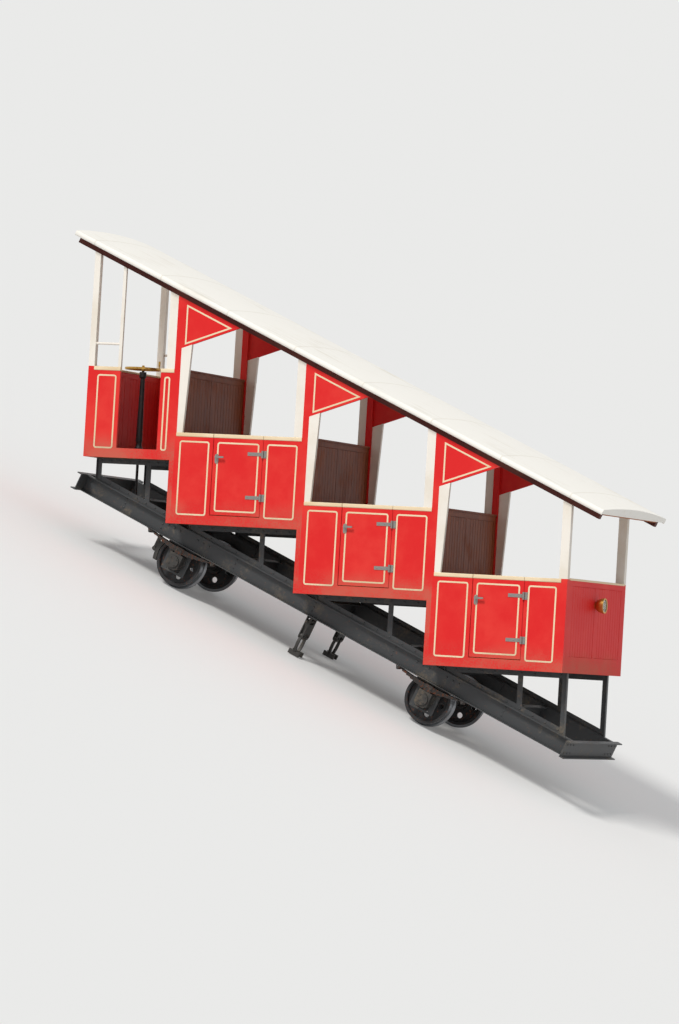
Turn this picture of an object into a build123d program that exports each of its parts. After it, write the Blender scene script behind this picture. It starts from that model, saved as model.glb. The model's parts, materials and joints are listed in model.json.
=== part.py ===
from build123d import *
from collections import namedtuple
import math
import os

# Funicular car: stepped open compartments and an operator's platform under one straight roof.
# Row frame: X runs downhill along the rails, Z is square to the rail plane, Z = 0 at the flange tips.
# Level frame: X is level and points downhill, Z is plumb when the car stands on its line. Floors,
# posts, doors and benches are drawn in it and then turned by the slope into the row frame.
# Y is shared by both frames. All sizes are in millimetres.

# Line and body
SLOPE = 24.0
GAUGE = 1000.0
PITCH = 1600.0
COMPARTMENTS = 3
PLATFORM_LENGTH = 1100.0
BODY_HALF = 1000.0
BELT_HEIGHT = 920.0
ROOF_HEADROOM = 2530.0

# Floors and walls
FLOOR_THICK = 30.0
BEARER_DEPTH = 80.0
BEARER_WIDTH = 50.0
SILL_WIDTH = 70.0
WALL_THICK = 40.0
WALL_FRAME = 70.0
WALL_RECESS = 10.0
CAP_WIDTH = 64.0
CAP_DEPTH = 24.0
PANEL_THICK = 30.0
PANEL_RECESS = 12.0
PANEL_FRAME = 55.0
BELT_RAIL_DEPTH = 45.0
BELT_RAIL_PROUD = 8.0

# Posts and gussets
POST_WIDTH = 72.0
POST_DEPTH = 70.0
WINDOW_POST_WIDTH = 100.0
WINDOW_POST_DEPTH = 42.0
TAPER_POST_FOOT = 70.0
TAPER_POST_HEAD = 125.0
GUSSET_HEIGHT = 561.0
GUSSET_LENGTH = 700.0
GUSSET_THICK = 28.0

# Doors
DOOR_WIDTH = 600.0
DOOR_HINGE_GAP = 5.0
DOOR_LATCH_GAP = 8.0
DOOR_FOOT_GAP = 8.0
HINGE_HEIGHTS = (200.0, 690.0)
HINGE_PIN_RADIUS = 6.0
HINGE_KNUCKLE_RADIUS = 13.0
HINGE_OFFSET = 14.0
HINGE_STRAP_THICK = 6.0
HINGE_STRAP_HEIGHT = 40.0
HINGE_STRAP_LENGTH = 180.0
HINGE_PLATE_LENGTH = 44.0
HINGE_END_KNUCKLE = 20.0
HINGE_END_GAP = 1.0
RUNNING_CLEARANCE = 0.05
LATCH_HEIGHT = 640.0
LATCH_INSET = 45.0
LATCH_ROSE = (44.0, 110.0, 6.0)
LATCH_SPINDLE = (11.0, 44.0)
LATCH_LEVER_DROP = 20.0
LATCH_LEVER_LENGTH = 110.0
LATCH_LEVER_WIDTH = 20.0
LATCH_LEVER_THICK = 14.0
PLATFORM_PANEL = 400.0
PLATFORM_STEP_IN = 500.0

# Roof
ROOF_HALF = 1100.0
ROOF_EDGE = 50.0
ROOF_CROWN = 50.0
ROOF_SKIN = 30.0
ROOF_UPHILL_REACH = 1450.0
ROOF_DOWNHILL_REACH = 420.0
ROOF_BEAD = 16.0
ROOF_BEAD_DROP = 10.0
CANT_RAIL_DEPTH = 75.0
CANT_RAIL_SETBACK = 40.0
ROOF_RIB_WIDTH = 40.0
ROOF_RIB_DROP = 25.0
ROOF_RIB_COUNT = 12

# Benches
SEAT_HEIGHT = 430.0
SEAT_SLAT = 64.0
SEAT_SLAT_PITCH = 74.0
SEAT_SLAT_THICK = 22.0
SEAT_SLATS = 5
SEAT_SLAT_START = 68.0
BACK_SLAT = 70.0
BACK_SLAT_PITCH = 100.0
BACK_SLAT_THICK = 18.0
BACK_SLATS = 4
SLAT_ROUND = 5.0
BACK_FOOT = (62.0, 450.0)
BACK_HEAD = (18.0, 880.0)
BENCH_SIDE_GAP = 70.0
BENCH_FRAME_INSET = 50.0
BENCH_FRAME_THICK = 36.0
BENCH_LEG = 50.0
BENCH_LEG_WAIST = 18.0
BENCH_DEPTH = 430.0
BENCH_NOSE = 26.0
BENCH_EYE = 42.0
BENCH_EYE_INSET = 84.0

# Underframe
SOLEBAR_TOP = 700.0
SOLEBAR_DEPTH = 200.0
SOLEBAR_FLANGE = 70.0
SOLEBAR_INNER = 650.0
STEEL_WEB = 10.0
STEEL_FLANGE = 12.0
CROSS_DEPTH = 160.0
CROSS_FLANGE = 60.0
CROSS_DOWNHILL = (820.0, 1900.0, 2980.0, 4450.0)
HEADSTOCK_HALF = 880.0
UNDERFRAME_END = 60.0
TRESTLE_WEB = 8.0
TRESTLE_FLANGE = 50.0
TRESTLE_BORDER = 60.0
TRESTLE_START = 150.0
TRESTLE_STRUT = 0.62

# Running gear
WHEEL_RADIUS = 280.0
FLANGE_HEIGHT = 25.0
FLANGE_BACK = 463.0
FLANGE_THICK = 30.0
RIM_WIDTH = 125.0
RIM_INNER_RADIUS = 236.0
HUB_RADIUS = 95.0
HUB_OVERHANG = 10.0
WEB_THICK = 24.0
WEB_DISH = 8.0
RIM_CHAMFER = 9.0
FLANGE_ROUND = 9.0
TREAD_ROOT = 4.0
TREAD_TAPER = 6.0
WEB_HOLES = 5
WEB_HOLE_RADIUS = 34.0
AXLE_RADIUS = 55.0
WHEEL_SEAT_RADIUS = 62.0
AXLE_STEP = 10.0
JOURNAL_RADIUS = 40.0
JOURNAL_END = 733.0
AXLE_PLACES = (200.0, 3600.0)
GUARD_THICK = 12.0
GUARD_SLOT = 84.0
GUARD_LEG = 66.0
GUARD_FOOT = 190.0
GUARD_CROWN = 410.0
GUARD_ARCH = 34.0
GUARD_KEEP = 24.0
GUARD_WING = 170.0
GUARD_WING_DEPTH = 90.0
GUARD_SHOULDER = 220.0
BOX_INNER = 610.0
BOX_OUTER = 750.0
BOX_TOP = 400.0
BOX_BOTTOM = 215.0
BOX_COVER_RADIUS = 68.0
BOX_COVER = 20.0
BOX_CHAMFER = 34.0
BOX_COLLAR = 10.0
BOX_SLIDE = 1.0
SPRING_SEAT = 12.0
SPRING_WIDTH = 64.0
SPRING_LEAVES = (430.0, 370.0, 310.0, 250.0, 190.0, 130.0)
SPRING_LEAF_THICK = 10.0
SPRING_CAMBER = 24.0
SPRING_OFFSET = 42.0
SPRING_BUCKLE_SIDE = 6.0
SPRING_BUCKLE = 45.0
SPRING_EYE_RADIUS = 18.0
HANGER_PIN_RADIUS = 9.0
HANGER_GAP = 1.0
HANGER_LUG = 8.0
HANGER_FOOT = 30.0

# Haul rope clevis
CLEVIS_BORE = 25.0
CLEVIS_LUG = 30.0
CLEVIS_LUG_FOOT = 75.0
CLEVIS_GAP = 60.0
CLEVIS_REACH = 150.0
CLEVIS_END = 55.0
CLEVIS_BASE = (20.0, 220.0, 160.0)
CLEVIS_BASE_ROUND = 24.0

# Rail brakes
RAIL_HEAD_WIDTH = 60.0
BRAKE_JAW_GAP = 6.0
BRAKE_JAW_FOOT = 8.0
BRAKE_SHOE_THICK = 30.0
BRAKE_SHOE_HEIGHT = 54.0
BRAKE_SHOE_LENGTH = 140.0
BRAKE_LEVER_THICK = 30.0
BRAKE_ARM_THICK = 26.0
BRAKE_LEVER_BELLY = 82.0
BRAKE_PIVOT_SIDE = 62.0
BRAKE_PIVOT_HEIGHT = 250.0
BRAKE_PIVOT_PIN = 14.0
BRAKE_BOSS = 34.0
BRAKE_ARM_SIDE = 92.0
BRAKE_ARM_HEIGHT = 430.0
BRAKE_EYE = 19.0
BRAKE_PLATE = 12.0
BRAKE_PLATE_GAP = 1.0
BRAKE_PLATE_EDGE = 40.0
BRAKE_PLATE_ARCH = 30.0
BRAKE_PLATE_WINDOW = 66.0
BRAKE_PIN_END = 5.0
BRAKE_ROD = 9.0
BRAKE_NUT = (17.0, 14.0)
NUT_SIDES = 6
BRAKE_COIL = 5.0
BRAKE_COIL_RADIUS = 20.0
BRAKE_COILS = 12
BRAKE_SEAT_GAP = 0.3

# Brake rigging
SHAFT_RADIUS = 16.0
CRANK_REACH = 110.0
CRANK_THICK = 16.0
SHAFT_GAP = 2.0
RIGGING_HEIGHT = 430.0
RIGGING_EYE = 22.0
RIGGING_EYE_DEPTH = 20.0
RIGGING_EYE_GAP = 1.0
RIGGING_PIN = 9.0
RIGGING_ROD = 10.0
BRACKET_THICK = 12.0
BRACKET_REACH = 110.0
BRACKET_HALF = 50.0
BRACKET_RISE = 100.0
BRACKET_BOSS = (34.0, 44.0)
BLOCK_GAP = 6.0
BLOCK_THICK = 45.0
BLOCK_HALF = 110.0
BLOCK_PLACE = (506.0, 580.0)
BLOCK_SEAT = 24.0
BEAM_RADIUS = 22.0
LINK_EYE = 30.0
LINK_WIDTH = 44.0
LINK_THICK = 18.0

# Operator's brake stand and lamps
BRAKE_STAND_INSET = 240.0
STAND_FOOT = (90.0, 16.0)
STAND_NECK = (38.0, 26.0)
STAND_FLARE = 130.0
STAND_HEAD = (40.0, 60.0)
HANDWHEEL_OVER_BELT = 40.0
HANDWHEEL_RADIUS = 200.0
HANDWHEEL_RIM = (24.0, 26.0)
HANDWHEEL_ROUND = 3.0
HANDWHEEL_HUB = (28.0, 40.0)
HANDWHEEL_SPOKE = 9.0
HANDWHEEL_SPOKES = 4
HANDLE_STEM = (7.0, 20.0)
HANDLE_GRIP = (12.0, 80.0)
HANDLE_ROUND = 5.0
GUARD_COLUMN = 36.0
GUARD_BAR = 14.0
GUARD_BAR_HEIGHT = 260.0
LAMP_HEIGHT = 660.0
LAMP_RADIUS = 85.0
LAMP_DEPTH = 110.0
LAMP_RIM = 14.0
LAMP_BACK = 40.0
LAMP_WALL = 6.0
GLASS_THICK = 6.0
GLASS_DOME = 10.0

RISE = PITCH * math.tan(math.radians(SLOPE))
SKIRT = FLOOR_THICK + BEARER_DEPTH
COS = math.cos(math.radians(SLOPE))
SIN = math.sin(math.radians(SLOPE))
TAN = math.tan(math.radians(SLOPE))
FLOOR_Z = SOLEBAR_TOP + SKIRT * COS
ROOF_Z = FLOOR_Z + ROOF_HEADROOM * COS
AXLE_Z = WHEEL_RADIUS + FLANGE_HEIGHT
POST_INNER = BODY_HALF - POST_DEPTH
PANEL_INNER = BODY_HALF - PANEL_THICK
BODY_END = COMPARTMENTS * PITCH
PLATFORM_DOORWAY = (-PLATFORM_LENGTH + PLATFORM_PANEL, -PLATFORM_LENGTH + PLATFORM_PANEL + PLATFORM_STEP_IN)
BRAKE_STAND = -PLATFORM_LENGTH + BRAKE_STAND_INSET
HANDWHEEL_HEIGHT = BELT_HEIGHT + HANDWHEEL_OVER_BELT
BENCH_HALF = PANEL_INNER - BENCH_SIDE_GAP
BENCH_FRAME_PLACES = (-BENCH_HALF + BENCH_FRAME_INSET, 0.0, BENCH_HALF - BENCH_FRAME_INSET)
CROSS_LOW = SOLEBAR_TOP - STEEL_FLANGE - CROSS_DEPTH
SPRING_TOP = BOX_TOP + SPRING_SEAT + SPRING_LEAF_THICK * len(SPRING_LEAVES)
SPRING_EYE_Z = SPRING_TOP + SPRING_CAMBER - SPRING_EYE_RADIUS
LINK_LINE = AXLE_PLACES[0] - WHEEL_RADIUS - BLOCK_GAP - BLOCK_THICK - BLOCK_SEAT
RAIL_MIDDLE = GAUGE / 2 + RAIL_HEAD_WIDTH / 2
BRAKE_PLACE = CROSS_DOWNHILL[1] + CROSS_FLANGE / 2

# A boundary is a cross wall with its pair of corner posts: the wall's middle and the posts' two faces.
Boundary = namedtuple("Boundary", "wall post_start post_end")
BOUNDARIES = [Boundary(-PLATFORM_LENGTH + WALL_THICK / 2, -PLATFORM_LENGTH, -PLATFORM_LENGTH + POST_WIDTH)]
for place in range(COMPARTMENTS):
    BOUNDARIES.append(Boundary(place * PITCH, place * PITCH - POST_WIDTH / 2, place * PITCH + POST_WIDTH / 2))
BOUNDARIES.append(Boundary(BODY_END - WALL_THICK / 2, BODY_END - POST_WIDTH, BODY_END))

# A step is one level floor between two boundaries. Step 0 is the platform, the rest the compartments.
Step = namedtuple("Step", "floor wall_start wall_end post_start post_end door_start door_end")


def make_step(index):
    """Sizes of one step: its floor height, clear length between walls and posts, and its doorway."""
    before = BOUNDARIES[index]
    after = BOUNDARIES[index + 1]
    middle = (index - 0.5) * PITCH
    doorway = PLATFORM_DOORWAY
    if index > 0:
        doorway = (middle - DOOR_WIDTH / 2 - DOOR_LATCH_GAP, middle + DOOR_WIDTH / 2 + DOOR_HINGE_GAP)
    return Step(
        floor=(1 - index) * RISE,
        wall_start=before.wall + WALL_THICK / 2,
        wall_end=after.wall - WALL_THICK / 2,
        post_start=before.post_end,
        post_end=after.post_start,
        door_start=doorway[0],
        door_end=doorway[1],
    )


STEPS = [make_step(index) for index in range(COMPARTMENTS + 1)]


def cant_line(x):
    """Height, in the level frame, of the cant rails' underside over the level place x."""
    return ROOF_HEADROOM - CANT_RAIL_DEPTH / COS - x * TAN


def solebar_line(x):
    """Height, in the level frame, of the solebars' top over the level place x."""
    return (SOLEBAR_TOP - FLOOR_Z) / COS - x * TAN


def row_x(x, z):
    """Place along the rails of a point of the level frame."""
    return x * COS - z * SIN


def level_z(x, row_height):
    """Level height, over the level place x, of a point at a height above the rail plane."""
    return (row_height - FLOOR_Z) / COS - x * TAN


ROOF_START = row_x(0, ROOF_HEADROOM) - ROOF_UPHILL_REACH
ROOF_END = row_x(BODY_END, ROOF_HEADROOM - COMPARTMENTS * RISE) + ROOF_DOWNHILL_REACH
UNDERFRAME_START = row_x(-PLATFORM_LENGTH, solebar_line(-PLATFORM_LENGTH)) - UNDERFRAME_END
UNDERFRAME_STOP = row_x(BODY_END, solebar_line(BODY_END)) + UNDERFRAME_END
LEVEL = Pos(0, 0, FLOOR_Z) * Rot(0, -SLOPE, 0)
SHAFT_AT_CROSS = row_x(BRAKE_STAND, level_z(BRAKE_STAND, CROSS_LOW))
CROSS_PLACES = (SHAFT_AT_CROSS + BRACKET_REACH, LINK_LINE - CROSS_FLANGE / 2, *CROSS_DOWNHILL)


def outline(*points):
    """Closed flat outline of straight runs."""
    return Polygon(*points, align=None)


def along_x(face, start, stop):
    """Section drawn in Y and Z, drawn out along X."""
    return extrude(Plane.YZ.offset(start) * face, amount=stop - start, dir=(1, 0, 0))


def along_y(face, start, stop):
    """Section drawn in X and Z, drawn out along Y."""
    return extrude(Plane.XZ.offset(-start) * face, amount=stop - start, dir=(0, 1, 0))


def along_z(face, start, stop):
    """Section drawn in X and Y, drawn out along Z."""
    return extrude(Plane.XY.offset(start) * face, amount=stop - start, dir=(0, 0, 1))


def bar(start, stop, radius):
    """Round bar between two points."""
    run = Vector(*stop) - Vector(*start)
    plane = Plane(origin=start, z_dir=run)
    return plane * Cylinder(radius, run.length, align=(Align.CENTER, Align.CENTER, Align.MIN))


def block(x0, x1, y0, y1, z0, z1):
    """Straight timber or plate between two opposite corners."""
    return along_x(outline((y0, z0), (y1, z0), (y1, z1), (y0, z1)), x0, x1)


def both_sides(solids):
    """The left side's pieces with their mirror images on the right."""
    return solids + [mirror(solid, about=Plane.XZ) for solid in solids]


def arched(half, low, edge, top):
    """Section with a flat foot, upright sides and an arc over them."""
    sides = Polyline((half, edge), (half, low), (-half, low), (-half, edge))
    arc = ThreePointArc((-half, edge), (0, top), (half, edge))
    return make_face(sides + arc)


def solebars():
    """The two long channels, flanges outwards."""
    inner = SOLEBAR_INNER
    outer = SOLEBAR_INNER + SOLEBAR_FLANGE
    web = SOLEBAR_INNER + STEEL_WEB
    low = SOLEBAR_TOP - SOLEBAR_DEPTH
    section = outline(
        (inner, low),
        (outer, low),
        (outer, low + STEEL_FLANGE),
        (web, low + STEEL_FLANGE),
        (web, SOLEBAR_TOP - STEEL_FLANGE),
        (outer, SOLEBAR_TOP - STEEL_FLANGE),
        (outer, SOLEBAR_TOP),
        (inner, SOLEBAR_TOP),
    )
    return both_sides([along_x(section, UNDERFRAME_START, UNDERFRAME_STOP)])


def channel_across(x, direction, depth, top, half):
    """Channel across the car with its web at x and its flanges towards direction."""
    web = x + direction * STEEL_WEB
    tip = x + direction * CROSS_FLANGE
    low = top - depth
    section = outline(
        (x, low),
        (tip, low),
        (tip, low + STEEL_FLANGE),
        (web, low + STEEL_FLANGE),
        (web, top - STEEL_FLANGE),
        (tip, top - STEEL_FLANGE),
        (tip, top),
        (x, top),
    )
    return along_y(section, -half, half)


def cross_members():
    """Channels between the solebars' webs."""
    top = SOLEBAR_TOP - STEEL_FLANGE
    return [channel_across(x, 1, CROSS_DEPTH, top, SOLEBAR_INNER) for x in CROSS_PLACES]


def headstocks():
    """Channels across the solebars' ends, flanges away from the car."""
    return [
        channel_across(UNDERFRAME_START, -1, SOLEBAR_DEPTH, SOLEBAR_TOP, HEADSTOCK_HALF),
        channel_across(UNDERFRAME_STOP, 1, SOLEBAR_DEPTH, SOLEBAR_TOP, HEADSTOCK_HALF),
    ]


def trestle(step):
    """Flanged web that carries one level floor on the sloping solebar, opened by windows."""
    start = max(step.wall_start, step.wall_end - PITCH + TRESTLE_START)
    stop = step.wall_end
    top = step.floor - SKIRT
    face = outline((start, top), (stop, top), (stop, solebar_line(stop)), (start, solebar_line(start)))
    middle = SOLEBAR_INNER + SOLEBAR_FLANGE / 2
    window = offset(face, amount=-TRESTLE_BORDER, kind=Kind.INTERSECTION)
    strut_x = start + (stop - start) * TRESTLE_STRUT
    strut = Pos(strut_x, top - RISE / 2) * Rectangle(TRESTLE_BORDER, RISE * 2)
    web = along_y(face - (window - strut), middle - TRESTLE_WEB / 2, middle + TRESTLE_WEB / 2)
    rim = face - offset(face, amount=-TRESTLE_WEB, kind=Kind.INTERSECTION)
    return web + along_y(rim, middle - TRESTLE_FLANGE / 2, middle + TRESTLE_FLANGE / 2)


def trestles():
    """Four trestles on each solebar."""
    return both_sides([trestle(step) for step in STEPS])


def floor_frame(step):
    """Level frame under one floor: side sills, bearers over the trestles and three cross bearers."""
    top = step.floor - FLOOR_THICK
    low = top - BEARER_DEPTH
    middle = (step.wall_start + step.wall_end) / 2
    bearer = SOLEBAR_INNER + SOLEBAR_FLANGE / 2
    sill = block(step.post_start, step.post_end, PANEL_INNER - SILL_WIDTH, PANEL_INNER, low, top)
    over_trestle = block(
        step.wall_start, step.wall_end, bearer - BEARER_WIDTH / 2, bearer + BEARER_WIDTH / 2, low, top
    )
    frame = sill + over_trestle
    frame += mirror(frame, about=Plane.XZ)
    for x in (step.wall_start, middle - BEARER_WIDTH / 2, step.wall_end - BEARER_WIDTH):
        frame += block(x, x + BEARER_WIDTH, -POST_INNER, POST_INNER, low, top)
    return frame


def floor_frames():
    """One level frame for each step."""
    return [floor_frame(step) for step in STEPS]


def floor_board(step):
    """Boarded floor, notched round the corner posts."""
    wide = block(
        step.post_start, step.post_end, -PANEL_INNER, PANEL_INNER, step.floor - FLOOR_THICK, step.floor
    )
    long = block(
        step.wall_start, step.wall_end, -POST_INNER, POST_INNER, step.floor - FLOOR_THICK, step.floor
    )
    return wide + long


def floor_boards():
    """One boarded floor for each step, with a hole for the brake shaft in the platform's."""
    boards = [floor_board(step) for step in STEPS]
    top = STEPS[0].floor
    boards[0] -= along_z(Pos(BRAKE_STAND, 0) * Circle(SHAFT_RADIUS + SHAFT_GAP), top - FLOOR_THICK, top)
    return boards


def cross_wall(middle, low, high):
    """Framed wall across the car: a recessed field on each face, and a rounded cap along its top."""
    wall = block(middle - WALL_THICK / 2, middle + WALL_THICK / 2, -POST_INNER, POST_INNER, low, high)
    field_half = POST_INNER - WALL_FRAME
    for x in (middle - WALL_THICK / 2, middle + WALL_THICK / 2 - WALL_RECESS):
        for y0, y1 in ((-field_half, -WALL_FRAME / 2), (WALL_FRAME / 2, field_half)):
            wall -= block(x, x + WALL_RECESS, y0, y1, high - BELT_HEIGHT + WALL_FRAME, high - WALL_FRAME)
    cap = Pos(middle, high) * RectangleRounded(CAP_WIDTH, CAP_DEPTH, CAP_DEPTH / 3)
    return wall + along_y(cap, -POST_INNER, POST_INNER)


def bulkheads():
    """Walls between the steps, from the lower floor's frame up to the upper step's belt."""
    walls = []
    for i in range(1, COMPARTMENTS + 1):
        low = STEPS[i].floor - SKIRT + WALL_THICK * TAN
        walls.append(cross_wall(BOUNDARIES[i].wall, low, STEPS[i - 1].floor + BELT_HEIGHT))
    return walls


def end_walls():
    """Walls at the platform's uphill end and the last compartment's downhill end, up to the belt."""
    first = STEPS[0].floor
    last = STEPS[-1].floor
    return [
        cross_wall(BOUNDARIES[0].wall, first - SKIRT, first + BELT_HEIGHT),
        cross_wall(BOUNDARIES[-1].wall, last - SKIRT, last + BELT_HEIGHT),
    ]


def corner_posts():
    """Red posts: to the roof between steps, to the belt at the two ends."""
    posts = []
    for index, boundary in enumerate(BOUNDARIES):
        x0 = boundary.post_start
        x1 = boundary.post_end
        at_end = index in (0, COMPARTMENTS + 1)
        low = STEPS[min(index, COMPARTMENTS)].floor - SKIRT
        head = (cant_line(x0), cant_line(x1))
        if at_end:
            head = (low + SKIRT + BELT_HEIGHT, low + SKIRT + BELT_HEIGHT)
        face = outline((x0, low), (x1, low), (x1, head[1]), (x0, head[0]))
        posts.append(along_y(face, POST_INNER, BODY_HALF))
    return both_sides(posts)


def straight_post(x0, x1, foot, depth):
    """White post from foot to the cant rail."""
    face = outline((x0, foot), (x1, foot), (x1, cant_line(x1)), (x0, cant_line(x0)))
    return along_y(face, BODY_HALF - depth, BODY_HALF)


def gusset_face(boundary):
    """Triangle under the cant rail at the uphill top corner of a compartment."""
    x = boundary.post_end
    return outline(
        (x, cant_line(x)),
        (x, cant_line(x) - GUSSET_HEIGHT),
        (x + GUSSET_LENGTH, cant_line(x + GUSSET_LENGTH)),
    )


def tapered_post(boundary, foot):
    """White post that widens upwards to the lower edge of the gusset above it."""
    x = boundary.post_end
    low_corner = cant_line(x) - GUSSET_HEIGHT
    edge_rise = (cant_line(x + GUSSET_LENGTH) - low_corner) / GUSSET_LENGTH
    face = outline(
        (x, foot),
        (x + TAPER_POST_FOOT, foot),
        (x + TAPER_POST_HEAD, low_corner + edge_rise * TAPER_POST_HEAD),
        (x, low_corner),
    )
    return along_y(face, BODY_HALF - WINDOW_POST_DEPTH, BODY_HALF)


def window_posts():
    """White posts on both sides of each red post, and at the two ends of the car."""
    posts = []
    for index in range(1, COMPARTMENTS + 1):
        boundary = BOUNDARIES[index]
        uphill_belt = STEPS[index - 1].floor + BELT_HEIGHT
        downhill_belt = STEPS[index].floor + BELT_HEIGHT
        x = boundary.post_start
        posts.append(straight_post(x - WINDOW_POST_WIDTH, x, uphill_belt, WINDOW_POST_DEPTH))
        posts.append(tapered_post(boundary, downhill_belt))
    platform_end = BOUNDARIES[0]
    belt = STEPS[0].floor + BELT_HEIGHT
    posts.append(straight_post(platform_end.post_start, platform_end.post_end, belt, POST_DEPTH))
    belt = STEPS[-1].floor + BELT_HEIGHT
    posts.append(straight_post(BODY_END - WINDOW_POST_WIDTH, BODY_END, belt, POST_DEPTH))
    return both_sides(posts)


def gussets():
    """Red triangles that brace the posts under the roof, three a side."""
    return both_sides(
        [
            along_y(gusset_face(boundary), BODY_HALF - GUSSET_THICK, BODY_HALF)
            for boundary in BOUNDARIES[1 : COMPARTMENTS + 1]
        ]
    )


def belt_section():
    """Moulded rail that caps a side panel, rounded outside."""
    inner = PANEL_INNER - BELT_RAIL_PROUD
    outer = BODY_HALF + BELT_RAIL_PROUD
    section = RectangleRounded(outer - inner, BELT_RAIL_DEPTH, BELT_RAIL_DEPTH / 4)
    return Pos((inner + outer) / 2, -BELT_RAIL_DEPTH / 2) * section


def belt_rail(x0, x1, belt):
    """Length of belt rail from x0 to x1 with its top at belt."""
    return Pos(0, 0, belt) * along_x(belt_section(), x0, x1)


def belt_rails():
    """Rails on the fixed panels at both sides of every doorway."""
    rails = []
    for step in STEPS:
        belt = step.floor + BELT_HEIGHT
        rails.append(belt_rail(step.post_start, step.door_start, belt))
        rails.append(belt_rail(step.door_end, step.post_end, belt))
    return both_sides(rails)


def panel_field(x0, x1, low, high):
    """Recess in a panel's inner face between its frame rails."""
    return block(
        x0 + PANEL_FRAME,
        x1 - PANEL_FRAME,
        PANEL_INNER,
        PANEL_INNER + PANEL_RECESS,
        low + PANEL_FRAME,
        high - PANEL_FRAME,
    )


def side_panel(step):
    """Lower side of one step: two fixed panels joined by the skirt under the doorway."""
    low = step.floor - SKIRT
    high = step.floor + BELT_HEIGHT - BELT_RAIL_DEPTH
    face = outline(
        (step.post_start, low),
        (step.post_end, low),
        (step.post_end, high),
        (step.door_end, high),
        (step.door_end, step.floor),
        (step.door_start, step.floor),
        (step.door_start, high),
        (step.post_start, high),
    )
    panel = along_y(face, PANEL_INNER, BODY_HALF)
    for x0, x1 in ((step.post_start, step.door_start), (step.door_end, step.post_end)):
        if x1 - x0 > 3 * PANEL_FRAME:
            panel -= panel_field(x0, x1, step.floor, high)
    return panel


def side_panels():
    """Lower sides of the platform and the compartments."""
    return both_sides([side_panel(step) for step in STEPS])


def hinge_barrel(x, low, high, radius):
    """Upright round bar on a door's hinge line."""
    return Pos(x, BODY_HALF + HINGE_OFFSET, low) * Cylinder(
        radius, high - low, align=(Align.CENTER, Align.CENTER, Align.MIN)
    )


def hinge_line(step):
    """Level place of a door's hinge line, in the middle of the gap at its downhill edge."""
    return step.door_end - DOOR_HINGE_GAP / 2


def door_leaf(step):
    """Half-door with its belt rail, a recessed inner field and two hinge straps."""
    x0 = step.door_start + DOOR_LATCH_GAP
    x1 = step.door_end - DOOR_HINGE_GAP
    belt = step.floor + BELT_HEIGHT
    low = step.floor + DOOR_FOOT_GAP
    leaf = block(x0, x1, PANEL_INNER, BODY_HALF, low, belt - BELT_RAIL_DEPTH)
    leaf -= panel_field(x0, x1, low, belt - BELT_RAIL_DEPTH)
    leaf += belt_rail(x0, x1, belt)
    axis_x = hinge_line(step)
    for height in HINGE_HEIGHTS:
        low = step.floor + height
        high = low + HINGE_STRAP_HEIGHT
        leaf += block(x1 - HINGE_STRAP_LENGTH, x1, BODY_HALF, BODY_HALF + HINGE_STRAP_THICK, low, high)
        leaf += hinge_barrel(axis_x, low, high, HINGE_KNUCKLE_RADIUS) - block(
            x1, x1 + BODY_HALF, BODY_HALF, BODY_HALF + HINGE_STRAP_THICK, low, high
        )
        leaf -= hinge_barrel(axis_x, low, high, HINGE_PIN_RADIUS + RUNNING_CLEARANCE)
    return leaf


def door_hinge(step, height):
    """Body side of a hinge: two knuckles on a plate, with the pin through them."""
    low = step.floor + height
    high = low + HINGE_STRAP_HEIGHT
    axis_x = hinge_line(step)
    bottom = low - HINGE_END_GAP - HINGE_END_KNUCKLE
    top = high + HINGE_END_GAP + HINGE_END_KNUCKLE
    x = step.door_end
    hinge = block(x, x + HINGE_PLATE_LENGTH, BODY_HALF, BODY_HALF + HINGE_STRAP_THICK, bottom, top)
    hinge -= Pos(axis_x, BODY_HALF + HINGE_OFFSET, low - HINGE_END_GAP) * Cylinder(
        HINGE_KNUCKLE_RADIUS + HINGE_END_GAP,
        HINGE_STRAP_HEIGHT + 2 * HINGE_END_GAP,
        align=(Align.CENTER, Align.CENTER, Align.MIN),
    )
    hinge += hinge_barrel(axis_x, bottom, low - HINGE_END_GAP, HINGE_KNUCKLE_RADIUS)
    hinge += hinge_barrel(axis_x, high + HINGE_END_GAP, top, HINGE_KNUCKLE_RADIUS)
    hinge += hinge_barrel(axis_x, bottom, top, HINGE_PIN_RADIUS)
    return hinge


def door_hinges():
    """Body side of two hinges for each door."""
    return both_sides([door_hinge(step, height) for step in STEPS[1:] for height in HINGE_HEIGHTS])


def door_latch(step):
    """Lever handle on a rose at the door's uphill edge."""
    rose_width, rose_height, rose_thick = LATCH_ROSE
    spindle_radius, spindle_end = LATCH_SPINDLE
    x = step.door_start + DOOR_LATCH_GAP + LATCH_INSET
    z = step.floor + LATCH_HEIGHT
    grip_z = z + LATCH_LEVER_DROP
    rose = Pos(x, z) * SlotOverall(rose_height, rose_width, rotation=90)
    latch = along_y(rose, BODY_HALF, BODY_HALF + rose_thick)
    latch += along_y(Pos(x, grip_z) * Circle(spindle_radius), BODY_HALF + rose_thick, BODY_HALF + spindle_end)
    grip = SlotOverall(LATCH_LEVER_LENGTH, LATCH_LEVER_WIDTH)
    grip = Pos(x + LATCH_LEVER_LENGTH / 2 - spindle_radius, grip_z) * grip
    latch += along_y(grip, BODY_HALF + spindle_end - LATCH_LEVER_THICK, BODY_HALF + spindle_end)
    return latch


def cant_rails():
    """Long rails under the roof's edges, on top of the posts."""
    low = ROOF_Z - CANT_RAIL_DEPTH
    section = outline((POST_INNER, low), (BODY_HALF, low), (BODY_HALF, ROOF_Z), (POST_INNER, ROOF_Z))
    return both_sides([along_x(section, ROOF_START + CANT_RAIL_SETBACK, ROOF_END - CANT_RAIL_SETBACK)])


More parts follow.
